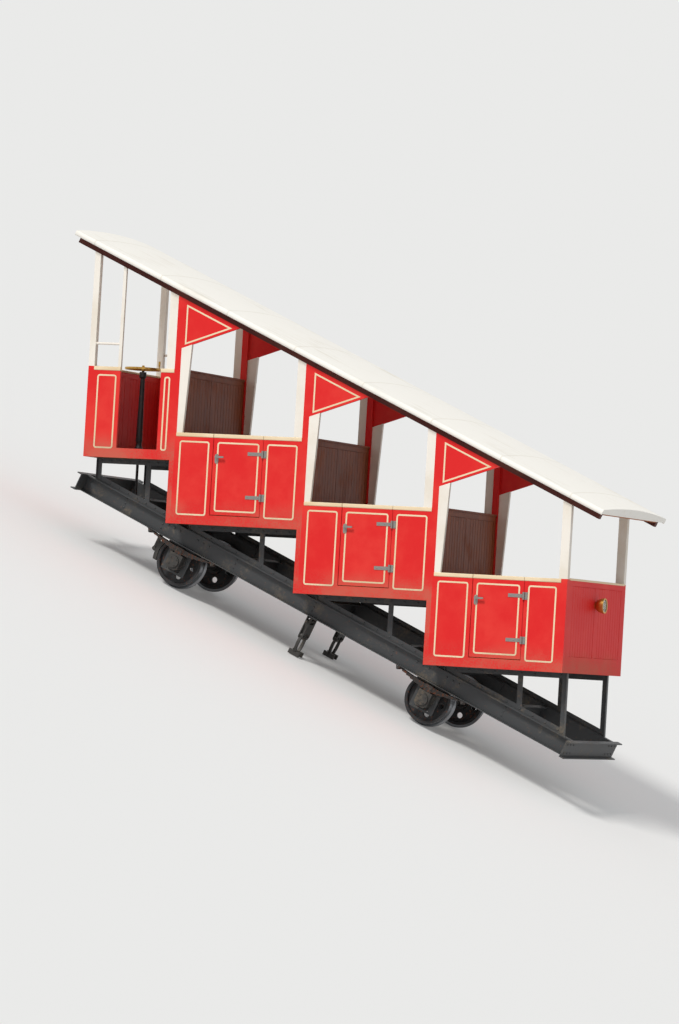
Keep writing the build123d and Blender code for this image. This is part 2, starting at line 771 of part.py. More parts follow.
def roof_bead():
    """Section of the half-round drip moulding along the roof's left edge."""
    top = (ROOF_HALF - ROOF_BEAD, ROOF_EDGE)
    foot = (ROOF_HALF - ROOF_BEAD, -ROOF_BEAD_DROP)
    bulge = ThreePointArc(foot, (ROOF_HALF, (top[1] + foot[1]) / 2), top)
    return make_face(Line(top, foot) + bulge)


def roof():
    """Straight slab with a low crown and beaded edges, hollowed below between the cant rails."""
    slab = along_x(arched(ROOF_HALF - ROOF_BEAD, 0, ROOF_EDGE, ROOF_EDGE + ROOF_CROWN), ROOF_START, ROOF_END)
    bead = along_x(roof_bead(), ROOF_START, ROOF_END)
    hollow = along_x(roof_hollow(0), ROOF_START + CANT_RAIL_SETBACK, ROOF_END - CANT_RAIL_SETBACK)
    return [Pos(0, 0, ROOF_Z) * (slab + bead + mirror(bead, about=Plane.XZ) - hollow)]


def roof_hollow(low):
    """Section of the roof's underside between the cant rails, down to low."""
    top = ROOF_EDGE + ROOF_CROWN - ROOF_SKIN
    edge = top - ROOF_CROWN * (POST_INNER / ROOF_HALF) ** 2
    return arched(POST_INNER, low, edge, top)


def roof_ribs():
    """Arched ribs between the cant rails that carry the roof's skin."""
    start = ROOF_START + CANT_RAIL_SETBACK
    stop = ROOF_END - CANT_RAIL_SETBACK - ROOF_RIB_WIDTH
    bow = roof_hollow(-ROOF_RIB_DROP)
    rib = Pos(0, 0, ROOF_Z) * along_x(bow, start, start + ROOF_RIB_WIDTH)
    return [Pos((stop - start) * i / (ROOF_RIB_COUNT - 1), 0, 0) * rib for i in range(ROOF_RIB_COUNT)]


def bench_frame():
    """Cast side frame of a bench: arched foot, seat rail and leaning back, its wall side at X = 0."""
    under_seat = SEAT_HEIGHT - SEAT_SLAT_THICK
    arch = BENCH_DEPTH - BENCH_LEG
    slant = arch * math.sqrt(0.5)
    nose = BENCH_NOSE * (1 - math.sqrt(0.5))
    edge = Polyline(
        (0, arch),
        (0, BACK_HEAD[1]),
        BACK_HEAD,
        (BACK_FOOT[0], under_seat),
        (BENCH_DEPTH - BENCH_NOSE, under_seat),
    )
    edge += ThreePointArc(
        (BENCH_DEPTH - BENCH_NOSE, under_seat),
        (BENCH_DEPTH - nose, under_seat - nose),
        (BENCH_DEPTH, under_seat - BENCH_NOSE),
    )
    edge += ThreePointArc(
        (BENCH_DEPTH, under_seat - BENCH_NOSE),
        (BENCH_DEPTH - BENCH_LEG_WAIST, under_seat / 2),
        (BENCH_DEPTH, 0),
    )
    edge += Line((BENCH_DEPTH, 0), (arch, 0))
    edge += ThreePointArc((arch, 0), (slant, slant), (0, arch))
    eye = Pos(BENCH_DEPTH - BENCH_EYE_INSET, under_seat - BENCH_EYE_INSET) * Circle(BENCH_EYE)
    return along_y(make_face(edge) - eye, -BENCH_FRAME_THICK / 2, BENCH_FRAME_THICK / 2)


def seat_slats():
    """Seat slats of one bench."""
    low = SEAT_HEIGHT - SEAT_SLAT_THICK
    slats = []
    for i in range(SEAT_SLATS):
        x = SEAT_SLAT_START + i * SEAT_SLAT_PITCH + SEAT_SLAT / 2
        face = Pos(x, low + SEAT_SLAT_THICK / 2) * RectangleRounded(SEAT_SLAT, SEAT_SLAT_THICK, SLAT_ROUND)
        slats.append(along_y(face, -BENCH_HALF, BENCH_HALF))
    return slats


def back_slats():
    """Back slats of one bench, lying on the frames' leaning edge."""
    run = BACK_FOOT[0] - BACK_HEAD[0]
    rise = BACK_HEAD[1] - (SEAT_HEIGHT - SEAT_SLAT_THICK)
    lean = math.degrees(math.atan2(run, rise))
    slats = []
    for i in range(BACK_SLATS):
        up = BACK_SLAT / 2 + i * BACK_SLAT_PITCH
        face = Pos(BACK_SLAT_THICK / 2, up) * RectangleRounded(BACK_SLAT_THICK, BACK_SLAT, SLAT_ROUND)
        foot_z = BACK_FOOT[1]
        foot_x = BACK_HEAD[0] + run * (BACK_HEAD[1] - foot_z) / rise
        slats.append(along_y(Pos(foot_x, foot_z) * Rot(0, 0, lean) * face, -BENCH_HALF, BENCH_HALF))
    return slats


def facing_benches(pieces):
    """Sets one bench's pieces against both walls of every compartment."""
    placed = []
    for step in STEPS[1:]:
        for piece in pieces:
            placed.append(Pos(step.wall_start, 0, step.floor) * piece)
            placed.append(Pos(step.wall_end, 0, step.floor) * mirror(piece, about=Plane.YZ))
    return placed


def bench_frames():
    """Side frames of every bench."""
    return facing_benches([Pos(0, y, 0) * bench_frame() for y in BENCH_FRAME_PLACES])


def platform_rails():
    """Upright column and a cross bar beside each doorway of the platform."""
    half = GUARD_COLUMN / 2
    x = PLATFORM_DOORWAY[0] - half
    y = BODY_HALF - WINDOW_POST_DEPTH / 2
    belt = STEPS[0].floor + BELT_HEIGHT
    face = outline(
        (x - half, belt), (x + half, belt), (x + half, cant_line(x + half)), (x - half, cant_line(x - half))
    )
    column = along_y(face, y - half, y + half)
    guard = along_x(Pos(y, belt + GUARD_BAR_HEIGHT) * Circle(GUARD_BAR), BOUNDARIES[0].post_end, x)
    return both_sides([column + guard])


def brake_stand():
    """Turned stand of the platform's hand brake on its shaft, its foot at Z = 0."""
    foot_radius, foot_thick = STAND_FOOT
    head_radius, head_depth = STAND_HEAD
    wide, narrow = STAND_NECK
    neck = HANDWHEEL_HEIGHT - HANDWHEEL_HUB[1] / 2
    head_top = neck - foot_thick
    head_low = head_top - head_depth
    bow = (wide + (foot_radius - wide) / 4, foot_thick + (STAND_FLARE - foot_thick) / 4)
    shaft_foot = level_z(BRAKE_STAND, RIGGING_HEIGHT) - STEPS[0].floor
    foot = Polyline(
        (0, shaft_foot),
        (SHAFT_RADIUS, shaft_foot),
        (SHAFT_RADIUS, 0),
        (foot_radius, 0),
        (foot_radius, foot_thick),
    )
    flare = ThreePointArc((foot_radius, foot_thick), bow, (wide, STAND_FLARE))
    shank = Polyline((wide, STAND_FLARE), (narrow, head_low - foot_thick), (head_radius, head_low))
    head = Polyline(
        (head_radius, head_low),
        (head_radius, head_top),
        (SHAFT_RADIUS, head_top),
        (SHAFT_RADIUS, neck),
        (0, neck),
        (0, shaft_foot),
    )
    return revolve(Plane.XZ * make_face(foot + flare + shank + head), Axis.Z)


def brake_column():
    """Hand-brake stand, with the crank at its shaft's foot and the crank's pin."""
    low = level_z(BRAKE_STAND, RIGGING_HEIGHT)
    arm = SlotCenterToCenter(CRANK_REACH, 2 * RIGGING_EYE, rotation=90)
    column = Pos(BRAKE_STAND, 0, STEPS[0].floor) * brake_stand()
    arm = Pos(BRAKE_STAND, CRANK_REACH / 2) * arm
    column += along_z(arm, low - CRANK_THICK / 2, low + CRANK_THICK / 2)
    pin_foot = low - CRANK_THICK / 2 - RIGGING_EYE_DEPTH - 3 * RIGGING_EYE_GAP
    column += bar((BRAKE_STAND, CRANK_REACH, low), (BRAKE_STAND, CRANK_REACH, pin_foot), RIGGING_PIN)
    return [column]


def brake_bracket():
    """Bracket on the first cross member, with the bearing of the brake shaft's foot."""
    radius, depth = BRACKET_BOSS
    web = CROSS_PLACES[0]
    seat = (BRAKE_STAND, 0, level_z(BRAKE_STAND, CROSS_LOW))
    bracket = block(SHAFT_AT_CROSS, web, -BRACKET_HALF, BRACKET_HALF, CROSS_LOW, CROSS_LOW + BRACKET_THICK)
    bracket += block(
        web - BRACKET_THICK, web, -BRACKET_HALF, BRACKET_HALF, CROSS_LOW, CROSS_LOW + BRACKET_RISE
    )
    bracket += LEVEL * Pos(*seat) * Cylinder(radius, depth)
    return bracket - LEVEL * Pos(*seat) * Cylinder(SHAFT_RADIUS + RUNNING_CLEARANCE, 3 * depth)


def brake_block():
    """Cast block behind the left uphill wheel, curved to its tread, with the link that hangs it."""
    tread = WHEEL_RADIUS + BLOCK_GAP
    ring = Circle(tread + BLOCK_THICK) - Circle(tread)
    shoe = ring & Pos(-tread, 0) * Rectangle(tread, 2 * BLOCK_HALF)
    near, far = BLOCK_PLACE
    middle = (near + far) / 2
    link = Pos(LINK_LINE, AXLE_Z) * Circle(LINK_EYE) + outline(
        (LINK_LINE - LINK_WIDTH / 2, AXLE_Z),
        (LINK_LINE + LINK_WIDTH / 2, AXLE_Z),
        (LINK_LINE + LINK_WIDTH / 2, CROSS_LOW),
        (LINK_LINE - LINK_WIDTH / 2, CROSS_LOW),
    )
    piece = along_y(Pos(AXLE_PLACES[0], AXLE_Z) * shoe, near, far)
    return piece + along_y(link, middle - LINK_THICK / 2, middle + LINK_THICK / 2)


def brake_rigging():
    """Beam with its two blocks and links, and the rod from the beam to the hand brake's crank."""
    crank_foot = level_z(BRAKE_STAND, RIGGING_HEIGHT) - CRANK_THICK / 2
    eye_place = LEVEL * Pos(BRAKE_STAND, CRANK_REACH, crank_foot - RIGGING_EYE_GAP - RIGGING_EYE_DEPTH / 2)
    beam_end = BLOCK_PLACE[1]
    beam = bar((LINK_LINE, -beam_end, AXLE_Z), (LINK_LINE, beam_end, AXLE_Z), BEAM_RADIUS)
    for block_piece in both_sides([brake_block()]):
        beam += block_piece
    beam += bar(tuple(eye_place.position), (LINK_LINE, 0, AXLE_Z), RIGGING_ROD)
    beam += eye_place * Cylinder(RIGGING_EYE, RIGGING_EYE_DEPTH)
    beam -= eye_place * Cylinder(RIGGING_PIN + RUNNING_CLEARANCE, 3 * RIGGING_EYE_DEPTH)
    return [beam, brake_bracket()]


def handwheel_grip():
    """Turned upright handle on its stem, its foot at Z = 0."""
    stem_radius, stem_height = HANDLE_STEM
    radius, height = HANDLE_GRIP
    face = outline(
        (0, 0),
        (stem_radius, 0),
        (stem_radius, stem_height),
        (radius, stem_height + HANDLE_ROUND),
        (radius, height - HANDLE_ROUND),
        (stem_radius, height),
        (0, height),
    )
    return revolve(Plane.XZ * face, Axis.Z)


def brake_handwheel():
    """Handwheel with a rounded rim, its spokes and an upright handle."""
    rim = Pos(HANDWHEEL_RADIUS, 0) * RectangleRounded(*HANDWHEEL_RIM, HANDWHEEL_ROUND)
    wheel = revolve(Plane.XZ * rim, Axis.Z) + Cylinder(*HANDWHEEL_HUB)
    for i in range(HANDWHEEL_SPOKES):
        turn = math.radians(360 / HANDWHEEL_SPOKES * (i + 0.5))
        end = (HANDWHEEL_RADIUS * math.cos(turn), HANDWHEEL_RADIUS * math.sin(turn), 0)
        wheel += bar((0, 0, 0), end, HANDWHEEL_SPOKE)
    wheel += Pos(HANDWHEEL_RADIUS, 0, HANDWHEEL_RIM[1] / 2) * handwheel_grip()
    return [Pos(BRAKE_STAND, 0, STEPS[0].floor + HANDWHEEL_HEIGHT) * wheel]


def lamp_housing():
    """Round lamp with its back at X = 0 and its open mouth towards X."""
    mouth = LAMP_RADIUS - LAMP_RIM
    rim_start = LAMP_DEPTH - 2 * LAMP_RIM
    outside = Polyline((0, 0), (0, LAMP_BACK), (LAMP_WALL, LAMP_BACK))
    bowl = ThreePointArc(
        (LAMP_WALL, LAMP_BACK),
        (LAMP_BACK, LAMP_RADIUS - LAMP_RIM),
        (rim_start, LAMP_RADIUS - LAMP_WALL),
    )
    inside = Polyline(
        (rim_start, LAMP_RADIUS - LAMP_WALL),
        (rim_start, LAMP_RADIUS),
        (LAMP_DEPTH, LAMP_RADIUS),
        (LAMP_DEPTH, mouth),
        (LAMP_DEPTH - LAMP_RIM, mouth),
        (LAMP_BACK, LAMP_BACK - LAMP_WALL),
        (LAMP_BACK, 0),
        (0, 0),
    )
    return revolve(make_face(outside + bowl + inside), Axis.X)


def lamp_glass():
    """Slightly domed glass seated in the lamp's rim."""
    radius = LAMP_RADIUS - LAMP_RIM
    dome = ThreePointArc((GLASS_DOME, 0), (GLASS_DOME * 3 / 4, radius / 2), (0, radius))
    rim = Polyline((0, radius), (-GLASS_THICK, radius), (-GLASS_THICK, 0), (GLASS_DOME, 0))
    glass = revolve(make_face(dome + rim), Axis.X)
    return Pos(LAMP_DEPTH - GLASS_THICK, 0, 0) * glass


def at_both_ends(piece):
    """A lamp's piece on the outside of the uphill and the downhill end walls."""
    uphill = Pos(-PLATFORM_LENGTH, 0, STEPS[0].floor + LAMP_HEIGHT) * mirror(piece, about=Plane.YZ)
    downhill = Pos(BODY_END, 0, STEPS[-1].floor + LAMP_HEIGHT) * piece
    return [uphill, downhill]


def wheel():
    """Flanged wheel with a coned tread and a dished web, turned about Y, on the left side."""
    back = FLANGE_BACK
    root = back + FLANGE_THICK
    face = back + RIM_WIDTH
    web = (back + face) / 2
    rim = RIM_INNER_RADIUS
    tip = WHEEL_RADIUS + FLANGE_HEIGHT
    waist = (HUB_RADIUS + rim) / 2
    hub_back = Polyline(
        (WHEEL_SEAT_RADIUS, back - HUB_OVERHANG),
        (HUB_RADIUS, back - HUB_OVERHANG),
        (HUB_RADIUS, web - WEB_THICK),
    )
    back_web = ThreePointArc(
        (HUB_RADIUS, web - WEB_THICK), (waist, web - WEB_THICK / 2 + WEB_DISH), (rim, web - WEB_THICK)
    )
    rim_back = Polyline(
        (rim, web - WEB_THICK),
        (rim, back + RIM_CHAMFER),
        (rim + RIM_CHAMFER, back),
        (tip - FLANGE_ROUND, back),
    )
    flange_tip = ThreePointArc(
        (tip - FLANGE_ROUND, back),
        (tip, back + FLANGE_ROUND),
        (tip - FLANGE_ROUND, back + 2 * FLANGE_ROUND),
    )
    tread = Polyline(
        (tip - FLANGE_ROUND, back + 2 * FLANGE_ROUND),
        (WHEEL_RADIUS + TREAD_ROOT, root),
        (WHEEL_RADIUS, root + 2 * TREAD_ROOT),
        (WHEEL_RADIUS - TREAD_TAPER, face),
        (rim + RIM_CHAMFER, face),
        (rim, face - RIM_CHAMFER),
        (rim, web + WEB_THICK),
    )
    front_web = ThreePointArc(
        (rim, web + WEB_THICK), (waist, web + WEB_THICK / 2 + WEB_DISH), (HUB_RADIUS, web + WEB_THICK)
    )
    hub_front = Polyline(
        (HUB_RADIUS, web + WEB_THICK),
        (HUB_RADIUS, face + HUB_OVERHANG),
        (WHEEL_SEAT_RADIUS, face + HUB_OVERHANG),
        (WHEEL_SEAT_RADIUS, back - HUB_OVERHANG),
    )
    edge = hub_back + back_web + rim_back + flange_tip + tread + front_web + hub_front
    disc = revolve(make_face(edge), Axis.Y)
    hole = Rot(90, 0, 0) * Cylinder(WEB_HOLE_RADIUS, 2 * RIM_WIDTH)
    for i in range(WEB_HOLES):
        disc -= Pos(0, web, 0) * Rot(0, 360 / WEB_HOLES * i, 0) * Pos(waist, 0, 0) * hole
    return disc


def wheel_pair(x):
    """Two wheels of one axle."""
    return [Pos(x, 0, AXLE_Z) * side for side in both_sides([wheel()])]


def axle(x):
    """Stepped axle with its journals, turned about Y."""
    seat_start = FLANGE_BACK - HUB_OVERHANG
    seat_end = FLANGE_BACK + RIM_WIDTH + HUB_OVERHANG
    half = outline(
        (0, 0),
        (AXLE_RADIUS, 0),
        (AXLE_RADIUS, seat_start - 2 * AXLE_STEP),
        (WHEEL_SEAT_RADIUS, seat_start - AXLE_STEP),
        (WHEEL_SEAT_RADIUS, seat_end),
        (JOURNAL_RADIUS, seat_end),
        (JOURNAL_RADIUS, JOURNAL_END),
        (0, JOURNAL_END),
    )
    side = revolve(half, Axis.Y)
    return [Pos(x, 0, AXLE_Z) * (side + mirror(side, about=Plane.XZ))]


def axle_guard(x):
    """Guard plate bolted inside the solebar, with the arched slot that the axle box slides in."""
    shoulder = GUARD_SLOT + GUARD_LEG
    wing = shoulder + GUARD_WING
    top = SOLEBAR_TOP - STEEL_FLANGE
    wing_foot = top - GUARD_WING_DEPTH
    neck = top - GUARD_SHOULDER
    bow = (shoulder + (wing - shoulder) / 3, wing_foot - (wing_foot - neck) / 3)
    low = GUARD_FOOT - GUARD_KEEP
    edge = Polyline((-wing, wing_foot), (-wing, top), (wing, top), (wing, wing_foot))
    edge += ThreePointArc((wing, wing_foot), bow, (shoulder, neck))
    edge += Polyline((shoulder, neck), (shoulder, low), (-shoulder, low), (-shoulder, neck))
    edge += ThreePointArc((-shoulder, neck), (-bow[0], bow[1]), (-wing, wing_foot))
    slot = Polyline(
        (-GUARD_SLOT, GUARD_CROWN),
        (-GUARD_SLOT, GUARD_FOOT),
        (GUARD_SLOT, GUARD_FOOT),
        (GUARD_SLOT, GUARD_CROWN),
    )
    crown = (0, GUARD_CROWN + GUARD_ARCH)
    slot += ThreePointArc((GUARD_SLOT, GUARD_CROWN), crown, (-GUARD_SLOT, GUARD_CROWN))
    plate = along_y(make_face(edge) - make_face(slot), SOLEBAR_INNER - GUARD_THICK, SOLEBAR_INNER)
    return Pos(x, 0, 0) * plate


def axle_guards():
    """Four guard plates."""
    return both_sides([axle_guard(x) for x in AXLE_PLACES])


def axle_box(x):
    """Axle box with a round cover, guide collars each side of the guard and a blind journal bore."""
    width = GUARD_SLOT - BOX_SLIDE
    body = outline(
        (-width, BOX_BOTTOM + BOX_CHAMFER),
        (-width + BOX_CHAMFER, BOX_BOTTOM),
        (width - BOX_CHAMFER, BOX_BOTTOM),
        (width, BOX_BOTTOM + BOX_CHAMFER),
        (width, BOX_TOP),
        (-width, BOX_TOP),
    )
    collar_low = BOX_BOTTOM + BOX_CHAMFER + BOX_COLLAR
    collar_high = BOX_TOP - BOX_COLLAR
    collar = Rectangle(2 * width + 4 * BOX_COLLAR, collar_high - collar_low)
    collar = Pos(0, (collar_low + collar_high) / 2) * collar
    inner_guide = SOLEBAR_INNER - GUARD_THICK - BOX_SLIDE
    outer_guide = SOLEBAR_INNER + BOX_SLIDE
    journal = Circle(JOURNAL_RADIUS + RUNNING_CLEARANCE)
    box = along_y(body, BOX_INNER, BOX_OUTER)
    box += along_y(collar, inner_guide - BOX_COLLAR, inner_guide)
    box += along_y(collar, outer_guide, outer_guide + BOX_COLLAR)
    box += along_y(Pos(0, AXLE_Z) * Circle(BOX_COVER_RADIUS), BOX_OUTER, BOX_OUTER + BOX_COVER)
    box -= along_y(Pos(0, AXLE_Z) * journal, BOX_INNER, JOURNAL_END + BOX_SLIDE)
    return Pos(x, 0, 0) * box


def axle_boxes():
    """Four axle boxes."""
    return both_sides([axle_box(x) for x in AXLE_PLACES])


def leaf_spring(x):
    """Laminated spring: leaves on concentric arcs, a buckle on the axle box and an eye at each end."""
    reach = SPRING_LEAVES[0]
    radius = (reach**2 + SPRING_CAMBER**2) / (2 * SPRING_CAMBER)
    pack = SPRING_LEAF_THICK * len(SPRING_LEAVES)
    face = Sketch()
    for i, half in enumerate(SPRING_LEAVES):
        inner = radius + i * SPRING_LEAF_THICK
        ring = Circle(inner + SPRING_LEAF_THICK) - Circle(inner)
        face += Pos(0, SPRING_TOP + radius) * ring & Pos(0, SPRING_TOP) * Rectangle(2 * half, 4 * pack)
    face += [Pos(end * reach, SPRING_EYE_Z) * Circle(SPRING_EYE_RADIUS) for end in (-1, 1)]
    face -= [Pos(end * reach, SPRING_EYE_Z) * Circle(HANGER_PIN_RADIUS) for end in (-1, 1)]
    near = SOLEBAR_INNER + SPRING_OFFSET - SPRING_WIDTH / 2
    far = near + SPRING_WIDTH
    side = SPRING_BUCKLE_SIDE
    spring = along_y(face, near, far)
    spring += block(-SPRING_BUCKLE, SPRING_BUCKLE, near - side, far + side, BOX_TOP, SPRING_TOP + side)
    return Pos(x, 0, 0) * spring


def leaf_springs():
    """Four laminated springs."""
    return both_sides([leaf_spring(x) for x in AXLE_PLACES])


def spring_hanger(x):
    """Two lugs under the solebar with the pin of a spring's eye."""
    top = SOLEBAR_TOP - SOLEBAR_DEPTH
    near = SOLEBAR_INNER + SPRING_OFFSET - SPRING_WIDTH / 2 - HANGER_GAP
    far = near + SPRING_WIDTH + 2 * HANGER_GAP
    lug = Pos(0, SPRING_EYE_Z) * Circle(SPRING_EYE_RADIUS) + outline(
        (-SPRING_EYE_RADIUS, SPRING_EYE_Z),
        (SPRING_EYE_RADIUS, SPRING_EYE_Z),
        (HANGER_FOOT, top),
        (-HANGER_FOOT, top),
    )
    pin = Pos(0, SPRING_EYE_Z) * Circle(HANGER_PIN_RADIUS - RUNNING_CLEARANCE)
    hanger = along_y(lug, near - HANGER_LUG, near) + along_y(lug, far, far + HANGER_LUG)
    return Pos(x, 0, 0) * (hanger + along_y(pin, near, far))


def spring_hangers():
    """Eight spring hangers."""
    ends = [x + side * SPRING_LEAVES[0] for x in AXLE_PLACES for side in (-1, 1)]
    return both_sides([spring_hanger(x) for x in ends])


def haul_clevis():
    """Forked bracket on the uphill headstock, where the haul rope's socket pins on."""
    base_thick, base_width, base_height = CLEVIS_BASE
    face_x = UNDERFRAME_START - STEEL_WEB
    root_x = face_x - base_thick
    z = SOLEBAR_TOP - SOLEBAR_DEPTH / 2
    pin_x = face_x - CLEVIS_REACH
    base = Pos(0, z) * RectangleRounded(base_width, base_height, CLEVIS_BASE_ROUND)
    lug = Pos(pin_x, z) * Circle(CLEVIS_END) + outline(
        (pin_x, z - CLEVIS_END),
        (root_x, z - CLEVIS_LUG_FOOT),
        (root_x, z + CLEVIS_LUG_FOOT),
        (pin_x, z + CLEVIS_END),
    )
    lug -= Pos(pin_x, z) * Circle(CLEVIS_BORE)
    near = CLEVIS_GAP / 2
    clevis = along_x(base, root_x, face_x)
    clevis += along_y(lug, near, near + CLEVIS_LUG)
    clevis += along_y(lug, -near - CLEVIS_LUG, -near)
    return [clevis]


def caliper_lever():
    """Curved lever outside the rail's head, from its shoe over the pivot's boss to the eye of its arm."""
    jaw = RAIL_HEAD_WIDTH / 2 + BRAKE_JAW_GAP
    shoe_top = BRAKE_JAW_FOOT + BRAKE_SHOE_HEIGHT
    foot = (jaw + BRAKE_SHOE_THICK / 2, shoe_top - BRAKE_SHOE_THICK / 2)
    pivot = (BRAKE_PIVOT_SIDE, BRAKE_PIVOT_HEIGHT)
    tip = (BRAKE_ARM_SIDE, BRAKE_ARM_HEIGHT)
    belly = (BRAKE_LEVER_BELLY, (foot[1] + pivot[1]) / 2)
    lean = ((2 * pivot[0] + tip[0]) / 3, (pivot[1] + tip[1]) / 2)
    face = trace(ThreePointArc(foot, belly, pivot), BRAKE_LEVER_THICK)
    face += trace(ThreePointArc(pivot, lean, tip), BRAKE_ARM_THICK)
    face += Pos(*pivot) * Circle(BRAKE_BOSS) + Pos(*tip) * Circle(BRAKE_EYE)
    face -= Pos(*pivot) * Circle(BRAKE_PIVOT_PIN + RUNNING_CLEARANCE)
    lever = along_x(face, -BRAKE_LEVER_THICK / 2, BRAKE_LEVER_THICK / 2)
    lever += block(
        -BRAKE_SHOE_LENGTH / 2, BRAKE_SHOE_LENGTH / 2, jaw, jaw + BRAKE_SHOE_THICK, BRAKE_JAW_FOOT, shoe_top
    )
    hole = bar((0, 0, tip[1]), (0, 2 * tip[0], tip[1]), BRAKE_ROD + RUNNING_CLEARANCE)
    return lever - hole


def caliper_plates():
    """Two hanging plates under the cross member, tied by the levers' two pivot pins."""
    side = BRAKE_PIVOT_SIDE + BRAKE_PLATE_EDGE
    window = SlotOverall(2 * (BRAKE_ARM_SIDE - BRAKE_EYE), BRAKE_PLATE_WINDOW)
    near = BRAKE_LEVER_THICK / 2 + BRAKE_PLATE_GAP
    far = near + BRAKE_PLATE
    face = outline(
        (-side, CROSS_LOW), (side, CROSS_LOW), (side, BRAKE_PIVOT_HEIGHT), (-side, BRAKE_PIVOT_HEIGHT)
    )
    pivots = (-BRAKE_PIVOT_SIDE, BRAKE_PIVOT_SIDE)
    face += [Pos(y, BRAKE_PIVOT_HEIGHT) * Circle(BRAKE_PLATE_EDGE) for y in pivots]
    face -= Pos(0, BRAKE_PIVOT_HEIGHT) * Circle(BRAKE_PLATE_ARCH)
    face -= Pos(0, BRAKE_ARM_HEIGHT) * window
    plates = along_x(face, near, far) + along_x(face, -far, -near)
    for y in pivots:
        pin = Pos(y, BRAKE_PIVOT_HEIGHT) * Circle(BRAKE_PIVOT_PIN)
        plates += along_x(pin, -far - BRAKE_PIN_END, far + BRAKE_PIN_END)
    return plates


def caliper_rod():
    """Tie rod through the eyes of the levers' arms, with a nut at each end."""
    nut_radius, nut_thick = BRAKE_NUT
    seat = BRAKE_ARM_SIDE + BRAKE_EYE + BRAKE_SEAT_GAP
    end = seat + nut_thick + BRAKE_ROD
    z = BRAKE_ARM_HEIGHT
    rod = bar((0, -end, z), (0, end, z), BRAKE_ROD)
    for y in (seat, -seat - nut_thick):
        rod += Pos(0, 0, z) * along_y(RegularPolygon(nut_radius, NUT_SIDES), y, y + nut_thick)
    return rod


def caliper_spring():
    """Brake spring between the levers' arms, drawn as close coils round the tie rod."""
    half = BRAKE_ARM_SIDE - BRAKE_EYE - BRAKE_SEAT_GAP
    step = 2 * (half - BRAKE_COIL) / (BRAKE_COILS - 1)
    sleeve = Pos(BRAKE_COIL_RADIUS - BRAKE_COIL / 2, 0) * Rectangle(BRAKE_COIL, 2 * (half - BRAKE_COIL))
    places = [-half + BRAKE_COIL + i * step for i in range(BRAKE_COILS)]
    face = sleeve + [Pos(BRAKE_COIL_RADIUS, y) * Circle(BRAKE_COIL) for y in places]
    return Pos(0, 0, BRAKE_ARM_HEIGHT) * revolve(face, Axis.Y)


def rail_brake():
    """Caliper over the left rail: two levers on their plates, held apart by a spring on the tie rod."""
    lever = caliper_lever()
    pieces = [lever, mirror(lever, about=Plane.XZ), caliper_plates(), caliper_rod(), caliper_spring()]
    return [Pos(BRAKE_PLACE, RAIL_MIDDLE, 0) * piece for piece in pieces]


def rail_brakes():
    """One caliper over each rail."""
    return both_sides(rail_brake())


def level(solids):
    """Turns level pieces into the row frame."""
    return [LEVEL * solid for solid in solids]


def make_nodes():
    """Every piece of the car by name, as solids in the row frame."""
    nodes = {
        "solebars": solebars(),
        "cross_members": cross_members(),
        "headstocks": headstocks(),
        "trestles": level(trestles()),
        "floor_frames": level(floor_frames()),
        "floor_boards": level(floor_boards()),
        "bulkheads": level(bulkheads()),
        "end_walls": level(end_walls()),
        "corner_posts": level(corner_posts()),
        "window_posts": level(window_posts()),
        "belt_rails": level(belt_rails()),
        "side_panels": level(side_panels()),
        "gussets": level(gussets()),
        "cant_rails": cant_rails(),
        "roof": roof(),
        "roof_ribs": roof_ribs(),
        "bench_seats": level(facing_benches(seat_slats())),
        "bench_backs": level(facing_benches(back_slats())),
        "bench_frames": level(bench_frames()),
        "platform_rails": level(platform_rails()),
        "brake_column": level(brake_column()),
        "brake_handwheel": level(brake_handwheel()),
        "brake_rigging": brake_rigging(),
        "lamps": level(at_both_ends(lamp_housing())),
        "lamp_glasses": level(at_both_ends(lamp_glass())),
        "rail_brakes": rail_brakes(),
        "haul_clevis": haul_clevis(),
        "axle_guards": axle_guards(),
        "axle_boxes": axle_boxes(),
        "leaf_springs": leaf_springs(),
        "spring_hangers": spring_hangers(),
        "door_hinges": level(door_hinges()),
    }
    for place, x in zip(("uphill", "downhill"), AXLE_PLACES):
        nodes["axle_" + place] = axle(x)
        nodes["wheels_" + place] = wheel_pair(x)
    for number, step in enumerate(STEPS[1:], start=1):
        for kind, solid in (("leaf", door_leaf(step)), ("latch", door_latch(step))):
            nodes[f"door_{kind}_{number}_left"] = level([solid])
            nodes[f"door_{kind}_{number}_right"] = level([mirror(solid, about=Plane.XZ)])
    return nodes


def main():
    """Centres the car on its box, standing on Z = 0, and writes one file for each node."""
    nodes = {}
    for name, pieces in make_nodes().items():
        nodes[name] = [solid for piece in pieces for solid in piece.solids()]
    box = Compound([solid for solids in nodes.values() for solid in solids]).bounding_box()
    centre = Pos(-(box.min.X + box.max.X) / 2, 0, 0)
    print("car box", box.size, "shift along X", -(box.min.X + box.max.X) / 2)
    os.makedirs("parts", exist_ok=True)
    for name, solids in nodes.items():
        export_step(Compound([centre * solid for solid in solids]), f"parts/{name}.step")


main()
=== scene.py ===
import json
import math

import bpy
from mathutils import Matrix, Vector


